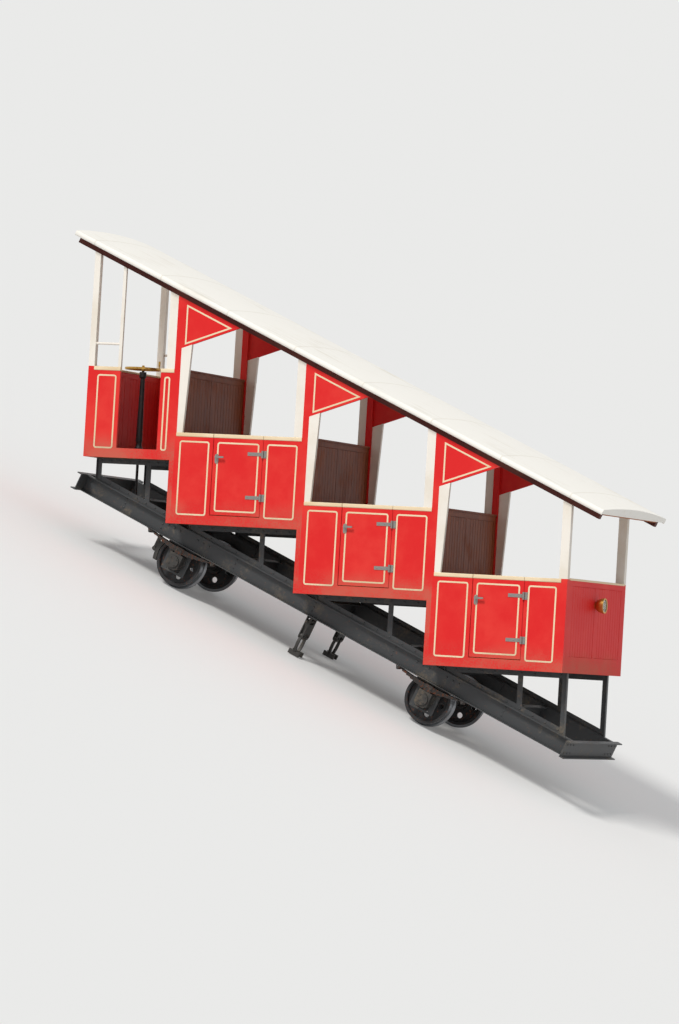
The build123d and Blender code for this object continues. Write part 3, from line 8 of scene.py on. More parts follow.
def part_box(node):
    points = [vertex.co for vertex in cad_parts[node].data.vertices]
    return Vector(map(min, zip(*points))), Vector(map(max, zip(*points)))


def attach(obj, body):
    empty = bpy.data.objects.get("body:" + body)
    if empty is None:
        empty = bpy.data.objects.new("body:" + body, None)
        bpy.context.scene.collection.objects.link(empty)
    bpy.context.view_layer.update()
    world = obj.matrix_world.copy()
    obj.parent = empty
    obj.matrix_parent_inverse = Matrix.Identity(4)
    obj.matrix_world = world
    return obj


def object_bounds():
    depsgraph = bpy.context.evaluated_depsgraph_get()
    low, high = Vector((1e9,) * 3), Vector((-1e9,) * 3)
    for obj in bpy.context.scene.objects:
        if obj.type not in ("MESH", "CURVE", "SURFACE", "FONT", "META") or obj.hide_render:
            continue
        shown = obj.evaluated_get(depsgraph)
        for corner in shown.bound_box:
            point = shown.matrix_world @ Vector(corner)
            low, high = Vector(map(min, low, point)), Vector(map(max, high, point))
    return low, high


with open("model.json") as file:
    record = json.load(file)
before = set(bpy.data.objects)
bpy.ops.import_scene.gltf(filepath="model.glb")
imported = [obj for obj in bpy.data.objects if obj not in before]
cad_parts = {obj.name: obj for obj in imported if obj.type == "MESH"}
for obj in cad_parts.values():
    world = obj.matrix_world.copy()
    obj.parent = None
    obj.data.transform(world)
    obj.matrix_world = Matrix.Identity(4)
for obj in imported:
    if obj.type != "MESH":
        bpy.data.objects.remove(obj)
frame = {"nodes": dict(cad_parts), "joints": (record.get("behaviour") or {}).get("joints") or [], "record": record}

cad_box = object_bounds()

# Level frame: X is level and points downhill, Z is plumb when the car stands on its line, Y is shared.
# Its origin is on the floor of compartment 1, at the middle of that compartment's uphill wall.
# All sizes are in metres.

FIRST_HINGE = "door_1_right_swing"
SECOND_HINGE = "door_2_right_swing"
HINGE_PLACE = (1.1025, -1.014, 0.46)
AXLES = ("wheelset_uphill_turn", "wheelset_downhill_turn")
COMPARTMENTS = 3
BODY_HALF = 1.0
BELT_HEIGHT = 0.92
BELT_DEPTH = 0.045
BELT_LOW = BELT_HEIGHT - BELT_DEPTH
CAP_DEPTH = 0.024
CAP_LOW = BELT_HEIGHT - CAP_DEPTH / 2
SKIRT = 0.11
POST_HALF = 0.036
WALL_HALF = 0.02
WALL_FRAME = 0.07
WALL_RECESS = 0.01
FIELD_HALF = 0.86
PLATFORM_LENGTH = 1.1
DOOR_START = 0.5
DOOR_STOP = 1.1
DOOR_GAP = 0.008
HINGE_GAP = 0.005
STRAP_HEIGHTS = (0.22, 0.71)
STRAP_FACE = 1.006
SEAT_PITCH = 0.074


def joint(name):
    """The axis of a joint of the part, and its place."""
    found = next(j for j in frame["joints"] if j["name"] == name)
    return Vector(found["axis"]), Vector(found["pos_m"])


def level_matrix():
    """The turn and shift that take a level point to the part's own frame."""
    axis, place = joint(FIRST_HINGE)
    up = axis.normalized()
    turn = Matrix(((up.z, 0, up.x), (0, 1, 0), (-up.x, 0, up.z)))
    return Matrix.Translation(place - turn @ Vector(HINGE_PLACE)) @ turn.to_4x4()


LEVEL = level_matrix()
TO_LEVEL = LEVEL.inverted()
STRIDE = TO_LEVEL @ joint(SECOND_HINGE)[1] - TO_LEVEL @ joint(FIRST_HINGE)[1]
PITCH = STRIDE.x
RISE = -STRIDE.z
COS = LEVEL[0][0]
SIN = LEVEL[2][0]
WHEEL_CENTRES = [joint(name)[1] for name in AXLES]


def rgb(red, green, blue):
    """Linear colour of a shade given as it shows on a screen, 0 to 255."""
    linear = []
    for part in (red, green, blue):
        part = part / 255
        linear.append(part / 12.92 if part <= 0.04045 else ((part + 0.055) / 1.055) ** 2.4)
    return (*linear, 1.0)


RED = rgb(226, 38, 40)
RED_DEEP = rgb(178, 22, 26)
RED_SUNNED = rgb(238, 72, 62)
WHITE = rgb(247, 241, 232)
WHITE_AGED = rgb(228, 217, 199)
CREAM = rgb(244, 224, 190)
CREAM_AGED = rgb(222, 194, 152)
ROOF_WHITE = rgb(253, 250, 243)
ROOF_STAIN = rgb(214, 205, 186)
# Painted shadow: the dark brown-red of the cant rails stands for the shade under the roof's eave, with paler worn
# patches on it
EAVE_PAINTED_SHADOW = rgb(74, 34, 30)
EAVE_PAINTED_SHADOW_WORN = rgb(104, 58, 48)
WOOD = rgb(158, 84, 42)
WOOD_DARK = rgb(104, 46, 22)
WOOD_GOLD = rgb(178, 112, 60)
BOARD = rgb(122, 98, 76)
BOARD_PALE = rgb(158, 136, 108)
BOARD_JOINT = rgb(44, 34, 26)
PRIMER = rgb(148, 110, 92)
TIMBER = rgb(120, 78, 52)
TIMBER_DARK = rgb(76, 48, 32)
FRAME_GREY = rgb(58, 60, 62)
IRON = rgb(40, 40, 42)
CAST_GREY = rgb(66, 64, 62)
LEAF_GREY = rgb(62, 58, 56)
LEAF_JOINT = rgb(18, 16, 15)
GREASE = rgb(26, 23, 20)
STEEL = rgb(140, 142, 146)
HINGE_STEEL = rgb(150, 148, 144)
RUST = rgb(116, 66, 40)
DUST = rgb(150, 134, 110)
BRASS = rgb(206, 164, 86)
BRASS_DULL = rgb(128, 96, 50)
GLASS = rgb(250, 252, 250)
GLASS_GREEN = rgb(222, 226, 212)


# Shaders

BOARD_NUMBER = "board_number"


class Signal:
    """A value that changes over a surface, written in sums like a number."""

    def __init__(self, graph, socket):
        self.graph = graph
        self.socket = socket

    def math(self, operation, first, second=0.0):
        return self.graph.node("ShaderNodeMath", {"operation": operation}, {0: first, 1: second})

    def __add__(self, other):
        return self.math("ADD", self, other)

    def __radd__(self, other):
        return self.math("ADD", other, self)

    def __sub__(self, other):
        return self.math("SUBTRACT", self, other)

    def __rsub__(self, other):
        return self.math("SUBTRACT", other, self)

    def __mul__(self, other):
        return self.math("MULTIPLY", self, other)

    def __rmul__(self, other):
        return self.math("MULTIPLY", other, self)

    def __truediv__(self, other):
        return self.math("DIVIDE", self, other)

    def __mod__(self, other):
        return self.math("FLOORED_MODULO", self, other)

    def __pow__(self, other):
        return self.math("POWER", self, other)

    def __abs__(self):
        return self.math("ABSOLUTE", self)

    def floor(self):
        return self.math("FLOOR", self)

    def sine(self):
        return self.math("SINE", self)

    def least(self, other):
        return self.math("MINIMUM", self, other)

    def most(self, other):
        return self.math("MAXIMUM", self, other)


class Graph:
    """The shader nodes of a material or of the world."""

    def __init__(self, tree):
        self.tree = tree

    @staticmethod
    def socket(sockets, key):
        """A socket by its number, its identifier or its name."""
        if isinstance(key, int):
            return sockets[key]
        matches = [s for s in sockets if s.identifier == key] or [s for s in sockets if s.name == key]
        return matches[0]

    def node(self, kind, settings=None, values=None, out=0):
        """An output of a new node, which gets its settings first, then the values or links of its sockets."""
        made = self.tree.nodes.new(kind)
        for key, value in (settings or {}).items():
            setattr(made, key, value)
        for key, value in (values or {}).items():
            target = self.socket(made.inputs, key)
            if isinstance(value, Signal):
                self.tree.links.new(value.socket, target)
            else:
                target.default_value = value
        return Signal(self, self.socket(made.outputs, out))

    def outputs(self, kind, keys, values=None):
        """Several outputs of one node."""
        made = self.node(kind, values=values).socket.node
        return [Signal(self, self.socket(made.outputs, key)) for key in keys]


class Finish(Graph):
    """One material: its constants, its patterns and what they feed."""

    def __init__(self, name, **constants):
        self.material = bpy.data.materials.new(name)
        self.material.use_nodes = True
        super().__init__(self.material.node_tree)
        self.shader = self.tree.nodes["Principled BSDF"]
        for key, value in constants.items():
            self.shader.inputs[key.replace("_", " ")].default_value = value
        self.place = self.node("ShaderNodeTexCoord", out="Object")

    def feed(self, key, signal):
        """Joins a signal to a socket of the shader."""
        self.tree.links.new(signal.socket, self.shader.inputs[key])

    def parts(self, vector):
        """The three numbers of a vector."""
        return self.outputs("ShaderNodeSeparateXYZ", (0, 1, 2), {0: vector})

    def level(self):
        """Place in the level frame's directions: along, across, up, and all three as a vector."""
        x, y, z = self.parts(self.place)
        start = TO_LEVEL.to_translation()
        along = x * COS + z * SIN + start.x
        up = z * COS - x * SIN + start.z
        return along, y, up, self.point(along, y, up)

    def height(self, along, up):
        """Height above the floor of the step that a point belongs to."""
        return up + ((along - WALL_HALF) / PITCH).floor() * RISE

    def point(self, x, y, z):
        """A vector of three values."""
        return self.node("ShaderNodeCombineXYZ", values={0: x, 1: y, 2: z})

    def noise(self, vector, scale, detail=3.0, roughness=0.55):
        """Cloudy value from 0 to 1."""
        values = {"Vector": vector, "Scale": scale, "Detail": detail, "Roughness": roughness}
        return self.node("ShaderNodeTexNoise", values=values)

    def chance(self, vector):
        """A random value from 0 to 1, the same wherever the vector is the same."""
        return self.node("ShaderNodeTexWhiteNoise", {"noise_dimensions": "3D"}, {"Vector": vector})

    def rise(self, value, low, high):
        """0 below low, 1 above high, smooth between."""
        values = {0: value, 1: low, 2: high}
        return self.node("ShaderNodeMapRange", {"interpolation_type": "SMOOTHSTEP"}, values)

    def mix(self, share, first, second):
        """First colour where share is 0, second where it is 1."""
        values = {"Factor_Float": share, "A_Color": first, "B_Color": second}
        return self.node("ShaderNodeMix", {"data_type": "RGBA"}, values, "Result_Color")

    def done(self, colour, roughness, height, distance):
        """The material, with its colour, its roughness, and a height in parts of a distance in metres."""
        values = {"Strength": 1.0, "Distance": distance, "Height": height}
        self.feed("Base Color", colour)
        self.feed("Roughness", roughness)
        self.feed("Normal", self.node("ShaderNodeBump", values=values, out="Normal"))
        return self.material


COAT_ROUGHNESS = 0.42
SPLASH_HEIGHT = 0.22
PAINT_EDGE = 0.001
STRAP_PROUD = (0.0008, 0.0016)
# Scale across the strokes, and along them
STROKES = (9, 0.9)


def painted(name, shade, aged, wear=0.5, upright=True, cream_above=None, straps=False, under=PRIMER):
    """Brushed oil paint on timber, faded, splashed at its foot and chipped, with brushed strokes along it.

    It can end in a cream top edge, and leave the hinge straps that stand proud of it bare.
    """
    finish = Finish(name, Specular_IOR_Level=0.14)
    along, across, up, place = finish.level()
    height = finish.height(along, up)
    wide, far = STROKES
    lengthwise = finish.point(along * far, across * wide, up * wide)
    if upright:
        lengthwise = finish.point(along * wide, across * wide, up * far)
    strokes = finish.noise(lengthwise, 14.0, 2.0)
    clouds = finish.noise(place, 1.7, 5.0, 0.6)
    fine = finish.noise(place, 60.0, 4.0, 0.7)
    splash = finish.rise(SPLASH_HEIGHT - height, 0.0, 0.3) * finish.rise(fine + clouds, 0.8, 1.2)
    chips = finish.rise(fine * 0.6 + clouds * 0.5, 0.76 - 0.05 * wear, 0.79 - 0.05 * wear)
    colour = finish.mix(finish.rise(clouds, 0.42, 0.68) * 0.55, shade, aged)
    colour = finish.mix(strokes * 0.16, colour, aged)
    colour = finish.mix(splash * 0.4, colour, DUST)
    colour = finish.mix(chips * 0.8, colour, under)
    if cream_above:
        edge = finish.rise(height, cream_above - PAINT_EDGE, cream_above + PAINT_EDGE)
        colour = finish.mix(edge, colour, finish.mix(clouds * 0.5, CREAM, CREAM_AGED))
    roughness = COAT_ROUGHNESS + strokes * 0.12 + splash * 0.3 + chips * 0.3
    if straps:
        low, high = STRAP_PROUD
        proud = finish.rise(abs(across), BODY_HALF + low, BODY_HALF + high)
        strap = proud * (1 - finish.rise(height, BELT_LOW - 2 * PAINT_EDGE, BELT_LOW - PAINT_EDGE))
        colour = finish.mix(strap, colour, finish.mix(chips, HINGE_STEEL, RUST))
        roughness = roughness - strap * 0.06
        finish.feed("Metallic", strap * 0.7)
    return finish.done(colour, roughness, strokes * 0.35 - chips * 0.6, 0.0006)


# Scale across the grain, and along it
RINGS = (11, 0.7)
FIBRES = (160, 5)


def varnished(name, pale, dark, slat=None):
    """Varnished timber, toned board by board, its grain upright on walls and across the car on slats."""
    finish = Finish(name, Specular_IOR_Level=0.22)
    along, across, up, place = finish.level()
    if slat:
        run, fibres = (finish.point(along * wide, across * far, up * wide) for wide, far in (RINGS, FIBRES))
        number = (along / slat).floor() + (up / slat).floor() * 7
    else:
        run, fibres = (finish.point(along * wide, across * wide, up * far) for wide, far in (RINGS, FIBRES))
        number = finish.node("ShaderNodeAttribute", {"attribute_name": BOARD_NUMBER}, out="Fac")
        number = number + (along / PITCH + 0.5).floor() * 41
    tone = finish.chance(finish.point(number, 1.0, 2.0))
    rings = finish.noise(run, 1.6, 4.0, 0.6)
    figure = ((rings + tone * 0.6) * 46).sine() * 0.5 + 0.5
    pores = finish.noise(fibres, 1.0, 3.0)
    worn = finish.rise(finish.noise(place, 2.3, 4.0), 0.5, 0.75)
    colour = finish.mix(figure * 0.55 + pores * 0.3, pale, dark)
    colour = finish.mix(tone * 0.35, colour, dark)
    colour = finish.mix(worn * 0.25, colour, pale)
    roughness = COAT_ROUGHNESS + pores * 0.15 + worn * 0.2
    return finish.done(colour, roughness, pores * 0.6 - figure * 0.2, 0.0004)


def strip_joints(finish, distance, width, edge):
    """1 at the joints between strips of a width laid side by side, 0 between them."""
    return finish.rise(abs((distance / width) % 1.0 - 0.5), *edge)


FLOOR_BOARD = 0.14


def floor_boarding(name):
    """Trodden floor boards across the car, with dark joints and dusty middles."""
    finish = Finish(name, Specular_IOR_Level=0.3)
    along, across, up, place = finish.level()
    number = (along / FLOOR_BOARD).floor()
    joint_line = strip_joints(finish, along, FLOOR_BOARD, (0.482, 0.496))
    tone = finish.chance(finish.point(number, 4.0, 1.0))
    fibres = finish.noise(finish.point(along * 120, across * 4, up * 4 + number * 3), 1.0, 4.0, 0.65)
    dust = finish.rise(finish.noise(place, 3.0, 5.0, 0.6), 0.45, 0.7)
    colour = finish.mix(fibres * 0.6 + tone * 0.3, BOARD_PALE, BOARD)
    colour = finish.mix(dust * 0.35, colour, DUST)
    colour = finish.mix(joint_line * 0.85, colour, BOARD_JOINT)
    return finish.done(colour, 0.62 + fibres * 0.25, fibres * 0.3 - joint_line * 1.6, 0.0015)


def raw_timber(name):
    """Stained structural timber, rough-sawn, under the floors."""
    finish = Finish(name, Specular_IOR_Level=0.25)
    along, across, up, place = finish.level()
    saw = finish.noise(finish.point(along * 3, across * 3, up * 40), 2.0, 3.0)
    fibres = finish.noise(finish.point(along * 14, across * 14, up * 50), 3.0, 5.0, 0.7)
    stain = finish.rise(finish.noise(place, 4.0, 4.0), 0.4, 0.7)
    colour = finish.mix(fibres * 0.7, TIMBER, TIMBER_DARK)
    colour = finish.mix(stain * 0.3, colour, DUST)
    return finish.done(colour, 0.66 + fibres * 0.2, fibres * 0.5 + saw * 0.5, 0.0012)


ROOF_INSIDE = 0.935
CANVAS_WIDTH = 0.92
ROOF_BOARD = 0.12
WEAVE = 2600


def roof_canvas(name):
    """Painted canvas over boards: cross seams, fine weave, rain runs, and boards with joints below."""
    finish = Finish(name, Specular_IOR_Level=0.1)
    x, y, z = finish.parts(finish.place)
    facing_up = finish.parts(finish.node("ShaderNodeNewGeometry", out="Normal"))[2]
    below = finish.rise(0 - facing_up, 0.2, 0.4) * finish.rise(ROOF_INSIDE - abs(y), 0.0, 0.01)
    seam = strip_joints(finish, x, CANVAS_WIDTH, (0.487, 0.495)) * (1 - below)
    plank = strip_joints(finish, y, ROOF_BOARD, (0.465, 0.49)) * below
    runs = finish.noise(finish.point(x * 0.5, y * 7, z * 7), 2.2, 4.0, 0.6)
    clouds = finish.noise(finish.place, 1.3, 5.0, 0.62)
    weave = ((x * WEAVE).sine() + (y * WEAVE).sine()) * 0.25 + 0.5
    stain = finish.rise(clouds * 0.6 + runs * 0.5, 0.56, 0.78)
    colour = finish.mix(stain * 0.5, ROOF_WHITE, ROOF_STAIN)
    colour = finish.mix(seam * 0.3, colour, ROOF_STAIN)
    colour = finish.mix(below * 0.5, colour, CREAM)
    colour = finish.mix(plank * 0.5, colour, WOOD)
    height = weave * 0.05 + runs * 0.25 + seam * 1.2 - plank * 2.0
    return finish.done(colour, 0.6 + stain * 0.2, height, 0.0016)


def metal(name, shade, worn_shade, soil, metallic=0.0, rough=0.5, soiling=0.5, grain=28.0):
    """Painted or bare metal: cast texture, worn spots and soil."""
    finish = Finish(name, Specular_IOR_Level=0.5)
    clouds = finish.noise(finish.place, 3.1, 5.0, 0.62)
    speckle = finish.noise(finish.place, grain * 6, 3.0, 0.6)
    spots = finish.noise(finish.place, grain, 5.0, 0.7)
    worn = finish.rise(spots, 0.62, 0.7)
    soiled = finish.rise(clouds * 0.7 + spots * 0.4, 0.66 - 0.16 * soiling, 0.86 - 0.16 * soiling)
    colour = finish.mix(worn * 0.6, shade, worn_shade)
    colour = finish.mix(soiled * 0.7 * soiling, colour, soil)
    if metallic:
        finish.feed("Metallic", metallic - soiled * metallic * 0.7)
    roughness = rough + speckle * 0.12 + soiled * 0.25
    return finish.done(colour, roughness, speckle * 0.5 + spots * 0.4, 0.0008)


LEAF_TOP = 0.472
LEAF_ARC = 3.864
LEAF_THICK = 0.01
LEAF_BUCKLE = (0.045, 0.046)


def from_axle(x, above):
    """Distance along the car from the nearer axle, and from a line over it, this far above a point."""
    asides = [abs(x - centre.x) for centre in WHEEL_CENTRES]
    aside = asides[0].least(asides[1])
    return aside, (aside * aside + above * above) ** 0.5


def leaf_steel(name):
    """Spring steel with dark gaps between the leaves, which lie on arcs about a point high over each axle."""
    finish = Finish(name, Specular_IOR_Level=0.5, Metallic=0.45)
    x, y, z = finish.parts(finish.place)
    aside, radius = from_axle(x, LEAF_TOP + LEAF_ARC - z)
    gap = strip_joints(finish, radius - LEAF_ARC, LEAF_THICK, (0.42, 0.47)) * finish.rise(aside, *LEAF_BUCKLE)
    spots = finish.noise(finish.place, 30.0, 5.0, 0.7)
    colour = finish.mix(finish.rise(spots, 0.5, 0.66), LEAF_GREY, RUST)
    colour = finish.mix(gap * 0.85, colour, LEAF_JOINT)
    return finish.done(colour, 0.48 + spots * 0.2, spots * 0.3 - gap, 0.0014)


TREAD_START = (0.272, 0.276)
GREASE_RADIUS = 0.12


def wheel_steel(name):
    """Rolled tread polished bright, painted wheel centre with rust and grease."""
    finish = Finish(name, Specular_IOR_Level=0.5)
    x, y, z = finish.parts(finish.place)
    radius = from_axle(x, z - WHEEL_CENTRES[0].z)[1]
    spots = finish.noise(finish.place, 34.0, 5.0, 0.7)
    clouds = finish.noise(finish.place, 5.0, 4.0)
    tread = finish.rise(radius, *TREAD_START)
    grease = finish.rise(clouds + (GREASE_RADIUS - radius) * 3, 0.55, 0.8) * (1 - tread)
    painted_part = finish.mix(finish.rise(spots, 0.56, 0.68), IRON, RUST)
    colour = finish.mix(tread, painted_part, STEEL)
    colour = finish.mix(grease * 0.6, colour, GREASE)
    finish.feed("Metallic", tread * 0.95)
    roughness = 0.62 - tread * 0.36 + spots * 0.14 - grease * 0.2
    return finish.done(colour, roughness, spots * (1 - tread), 0.0009)


GLASS_RIBS = 900


def ribbed_glass(name):
    """Lamp glass with upright ribs."""
    finish = Finish(name, Transmission_Weight=0.85, IOR=1.46)
    _, across, _, place = finish.level()
    ribs = (across * GLASS_RIBS).sine() * 0.5 + 0.5
    clouds = finish.noise(place, 30.0)
    colour = finish.mix(clouds * 0.3, GLASS, GLASS_GREEN)
    return finish.done(colour, 0.06 + clouds * 0.08, ribs, 0.0015)


FINISHES = {
    "red_paint": painted("red_gloss_paint", RED, RED_SUNNED, 0.6),
    "door_paint": painted("door_gloss_paint", RED, RED_SUNNED, 0.8, cream_above=BELT_LOW, straps=True),
    "end_paint": painted("end_gloss_paint", RED, RED_SUNNED, 0.6, cream_above=CAP_LOW),
    "white_paint": painted("white_gloss_paint", WHITE, WHITE_AGED),
    # Painted shade on the cant rails: dark paint in place of the eave's shadow line
    "eave_shadow_paint": painted("eave_painted_shadow_brown", EAVE_PAINTED_SHADOW, EAVE_PAINTED_SHADOW_WORN, 0.3, upright=False),
    "cream_paint": painted("cream_line_paint", CREAM, CREAM_AGED, 0.3, upright=False, under=RED_DEEP),
    "roof_paint": roof_canvas("roof_canvas_paint"),
    "varnished_wood": varnished("varnished_slats", WOOD_GOLD, WOOD, SEAT_PITCH),
    "wall_boards": varnished("varnished_wall_boards", WOOD, WOOD_DARK),
    "floor_boards": floor_boarding("floor_boarding"),
    "frame_timber": raw_timber("stained_timber"),
    "frame_paint": metal("frame_grey_paint", FRAME_GREY, RUST, DUST, rough=0.45, soiling=0.6),
    "bench_iron": metal("bench_black_iron", IRON, RUST, DUST, rough=0.42, soiling=0.25),
    "cast_steel": metal("cast_steel", CAST_GREY, RUST, DUST, metallic=0.35, rough=0.5, soiling=0.6),
    "spring_steel": leaf_steel("spring_leaves"),
    "hinge_steel": metal("hinge_steel", HINGE_STEEL, STEEL, RUST, metallic=0.7, rough=0.36, soiling=0.35),
    "wheel_steel": wheel_steel("wheel_steel"),
    "brass": metal("brass", BRASS, BRASS, BRASS_DULL, metallic=0.95, rough=0.22, soiling=0.5, grain=18.0),
    "lamp_metal": metal("lamp_brass", BRASS, BRASS, BRASS_DULL, metallic=0.9, rough=0.26, soiling=0.6),
    "lamp_glass": ribbed_glass("ribbed_glass"),
}
# The cant rails take the dark painted shadow of the eave
SPECIAL_FINISHES = {"bulkheads": "wall_boards", "end_walls": "end_paint", "cant_rails": "eave_shadow_paint"}

for part in frame["record"]["subparts"]:
    node = part["node"]
    chosen = SPECIAL_FINISHES.get(node, part["material_slot"])
    if node.startswith("door_leaf"):
        chosen = "door_paint"
    materials = frame["nodes"][node].data.materials
    materials.clear()
    materials.append(FINISHES[chosen])


# Modelling

MERGE_DISTANCE = 0.00001


def clear_selection():
    """Leaves edit mode and selects nothing."""
    if bpy.context.mode != "OBJECT":
        bpy.ops.object.mode_set(mode="OBJECT")
    bpy.ops.object.select_all(action="DESELECT")


def activate(piece):
    """Selects one piece alone."""
    clear_selection()
    piece.select_set(True)
    bpy.context.view_layer.objects.active = piece


def edit_all(piece):
    """Opens a piece in edit mode with all of it selected."""
    activate(piece)
    bpy.ops.object.mode_set(mode="EDIT")
    bpy.ops.mesh.select_mode(type="FACE")
    bpy.ops.mesh.select_all(action="SELECT")


def pick_faces(piece, test):
    """Opens a piece in edit mode with only the faces that pass a test selected."""
    edit_all(piece)
    bpy.ops.mesh.select_all(action="DESELECT")
    bpy.ops.object.mode_set(mode="OBJECT")
    for face in piece.data.polygons:
        face.select = test(face)
    bpy.ops.object.mode_set(mode="EDIT")


def close(piece):
    """Ends edit mode with the faces pointing outwards."""
    bpy.ops.mesh.select_all(action="SELECT")
    bpy.ops.mesh.remove_doubles(threshold=MERGE_DISTANCE)
    bpy.ops.mesh.normals_make_consistent(inside=False)
    bpy.ops.object.mode_set(mode="OBJECT")
    return piece


def settled():
    """The new primitive, with its place, turn and size in its mesh."""
    bpy.ops.object.transform_apply(location=True, rotation=True, scale=True)
    return bpy.context.active_object


def box(low, high):
    """A straight block between two corners."""
    clear_selection()
    low = Vector(low)
    high = Vector(high)
    bpy.ops.mesh.primitive_cube_add(size=1, location=(low + high) / 2)
    bpy.context.active_object.scale = high - low
    return settled()


def drum(sides, radius, low, high):
    """An upright drum between two heights over the origin."""
    clear_selection()
    place = (0, 0, (low + high) / 2)
    bpy.ops.mesh.primitive_cylinder_add(vertices=sides, radius=radius, depth=high - low, location=place)
    return settled()


def bevel_all(piece, width):
    """Bevels every edge of a piece."""
    activate(piece)
    modifier = piece.modifiers.new("edges", "BEVEL")
    modifier.width = width
    modifier.limit_method = "ANGLE"
    bpy.ops.object.modifier_apply(modifier=modifier.name)
    return piece


def joined(pieces):
    """Several pieces made one."""
    clear_selection()
    for piece in pieces:
        piece.select_set(True)
    bpy.context.view_layer.objects.active = pieces[0]
    if len(pieces) > 1:
        bpy.ops.object.join()
    return bpy.context.view_layer.objects.active


def copies(source, places):
    """Copies of a piece at its places, made one. Each has its own mesh, with its number on it."""
    made = []
    for number, place in enumerate(places):
        copy = source.copy()
        copy.data = source.data.copy()
        copy.data.transform(place)
        mark = copy.data.attributes.new(BOARD_NUMBER, "FLOAT", "POINT")
        mark.data.foreach_set("value", [number] * len(copy.data.vertices))
        bpy.context.collection.objects.link(copy)
        made.append(copy)
    bpy.data.objects.remove(source)
    return joined(made)


def mirrored_copies(source, places):
    """Copies at places of which some are mirror images, with their faces turned outwards again."""
    piece = copies(source, places)
    edit_all(piece)
    return close(piece)


def finished(piece, name, slot, body="root", level=True, smooth=35.0, material=None):
    """Names a piece, takes it from the level frame to the part's own, and gives it its finish and body."""
    activate(piece)
    piece.name = name
    piece.data.name = name
    if level:
        piece.data.transform(LEVEL)
    bpy.ops.object.shade_smooth_by_angle(angle=math.radians(smooth))
    piece.data.materials.clear()
    piece.data.materials.append(FINISHES[material or slot])
    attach(piece, body)


def boarded(piece, name, body="root"):
    """Finishes a piece of varnished wall boarding."""
    finished(piece, name, "varnished_wood", body, smooth=BOARD_SMOOTH, material="wall_boards")


# Steps of the body

PLATFORM_DOORWAY = (-0.7, -0.2)
SIGNS = (-1, 1)
SIDES = (("right", -1), ("left", 1))


def step_origin(index):
    """Level place of a step's floor, at the middle of its uphill wall. Step 0 is the platform."""
    return Vector(((index - 1) * PITCH, 0, (1 - index) * RISE))


STEPS = range(COMPARTMENTS + 1)
CABINS = STEPS[1:]
DOORS = [(f"{index}_{side}", step_origin(index), sign) for index in CABINS for side, sign in SIDES]


def panel_spans(index):
    """Start and stop along the car of a step's two fixed panels, from the step's origin."""
    if index == 0:
        start, stop = PLATFORM_DOORWAY
        uphill_edge = PITCH - PLATFORM_LENGTH + 2 * POST_HALF
        return (uphill_edge, PITCH + start), (PITCH + stop, PITCH - POST_HALF)
    downhill_edge = PITCH - POST_HALF if index < COMPARTMENTS else PITCH - 2 * POST_HALF
    return (POST_HALF, DOOR_START - DOOR_GAP), (DOOR_STOP + HINGE_GAP, downhill_edge)


def downhill_wall(index):
    """Place of a step's downhill wall face, from the step's origin."""
    return PITCH - 2 * WALL_HALF if index == COMPARTMENTS else PITCH - WALL_HALF


def row_line(height, along):
    """Level height of a line parallel to the rails, at a height square to them, over a level place."""
    return (height - LEVEL.to_translation().z) / COS - along * SIN / COS


def side_place(origin, sign):
    """Where a piece modelled for the right side goes, at an origin on one side of the car."""
    place = Matrix.Translation(origin + Vector((0, sign * BODY_HALF, 0)))
    return place @ Matrix.Scale(-1, 4, (0, 1, 0)) if sign > 0 else place


def both_sides(origin):
    """Where a piece modelled for the right side goes on both sides of the car."""
    return [side_place(origin, sign) for sign in SIGNS]


# Coach lining

LINE_WIDTH = 0.018
LINE_PROUD = 0.0012
LINE_INSET = 0.045
LINE_CORNER = 0.03
LINE_TOP = BELT_LOW - LINE_INSET
GUSSET_HEIGHT = 0.561
GUSSET_LENGTH = 0.7
GUSSET_INSET = 0.036
CANT_DEPTH = 0.075


def raise_line(piece):
    """Keeps only a band along the edge of a flat face, and gives it its thickness."""
    edit_all(piece)
    bpy.ops.mesh.inset(thickness=LINE_WIDTH)
    bpy.ops.mesh.delete(type="FACE")
    bpy.ops.mesh.select_all(action="SELECT")
    bpy.ops.mesh.extrude_region_move(TRANSFORM_OT_translate={"value": (0, -LINE_PROUD, 0)})
    return close(piece)


def lining(x0, x1, z0, z1):
    """Thin raised line round a panel, its corners rounded, seated on Y = 0 and facing the right side."""
    clear_selection()
    bpy.ops.mesh.primitive_plane_add(size=1, location=((x0 + x1) / 2, 0, (z0 + z1) / 2))
    bpy.context.active_object.rotation_euler = (math.pi / 2, 0, 0)
    bpy.context.active_object.scale = (x1 - x0, z1 - z0, 1)
    piece = settled()
    edit_all(piece)
    bpy.ops.mesh.select_mode(type="VERT")
    bpy.ops.mesh.bevel(offset=LINE_CORNER, segments=4, affect="VERTICES")
    return raise_line(piece)


def panel_lining():
    """Lines on the fixed lower panels of every step."""
    made = []
    for index in STEPS:
        for start, stop in panel_spans(index):
            line = lining(start + LINE_INSET, stop - LINE_INSET, LINE_INSET - SKIRT / 2, LINE_TOP)
            made.append(mirrored_copies(line, both_sides(step_origin(index))))
    finished(joined(made), "lining_panels", "cream_paint")


def door_lining():
    """A line on the outside of each door, which moves with its door."""
    for door, origin, sign in DOORS:
        line = lining(DOOR_START + LINE_INSET, DOOR_STOP - LINE_INSET, LINE_INSET, LINE_TOP)
        piece = mirrored_copies(line, [side_place(origin, sign)])
        finished(piece, f"lining_door_{door}", "cream_paint", f"door_{door}")


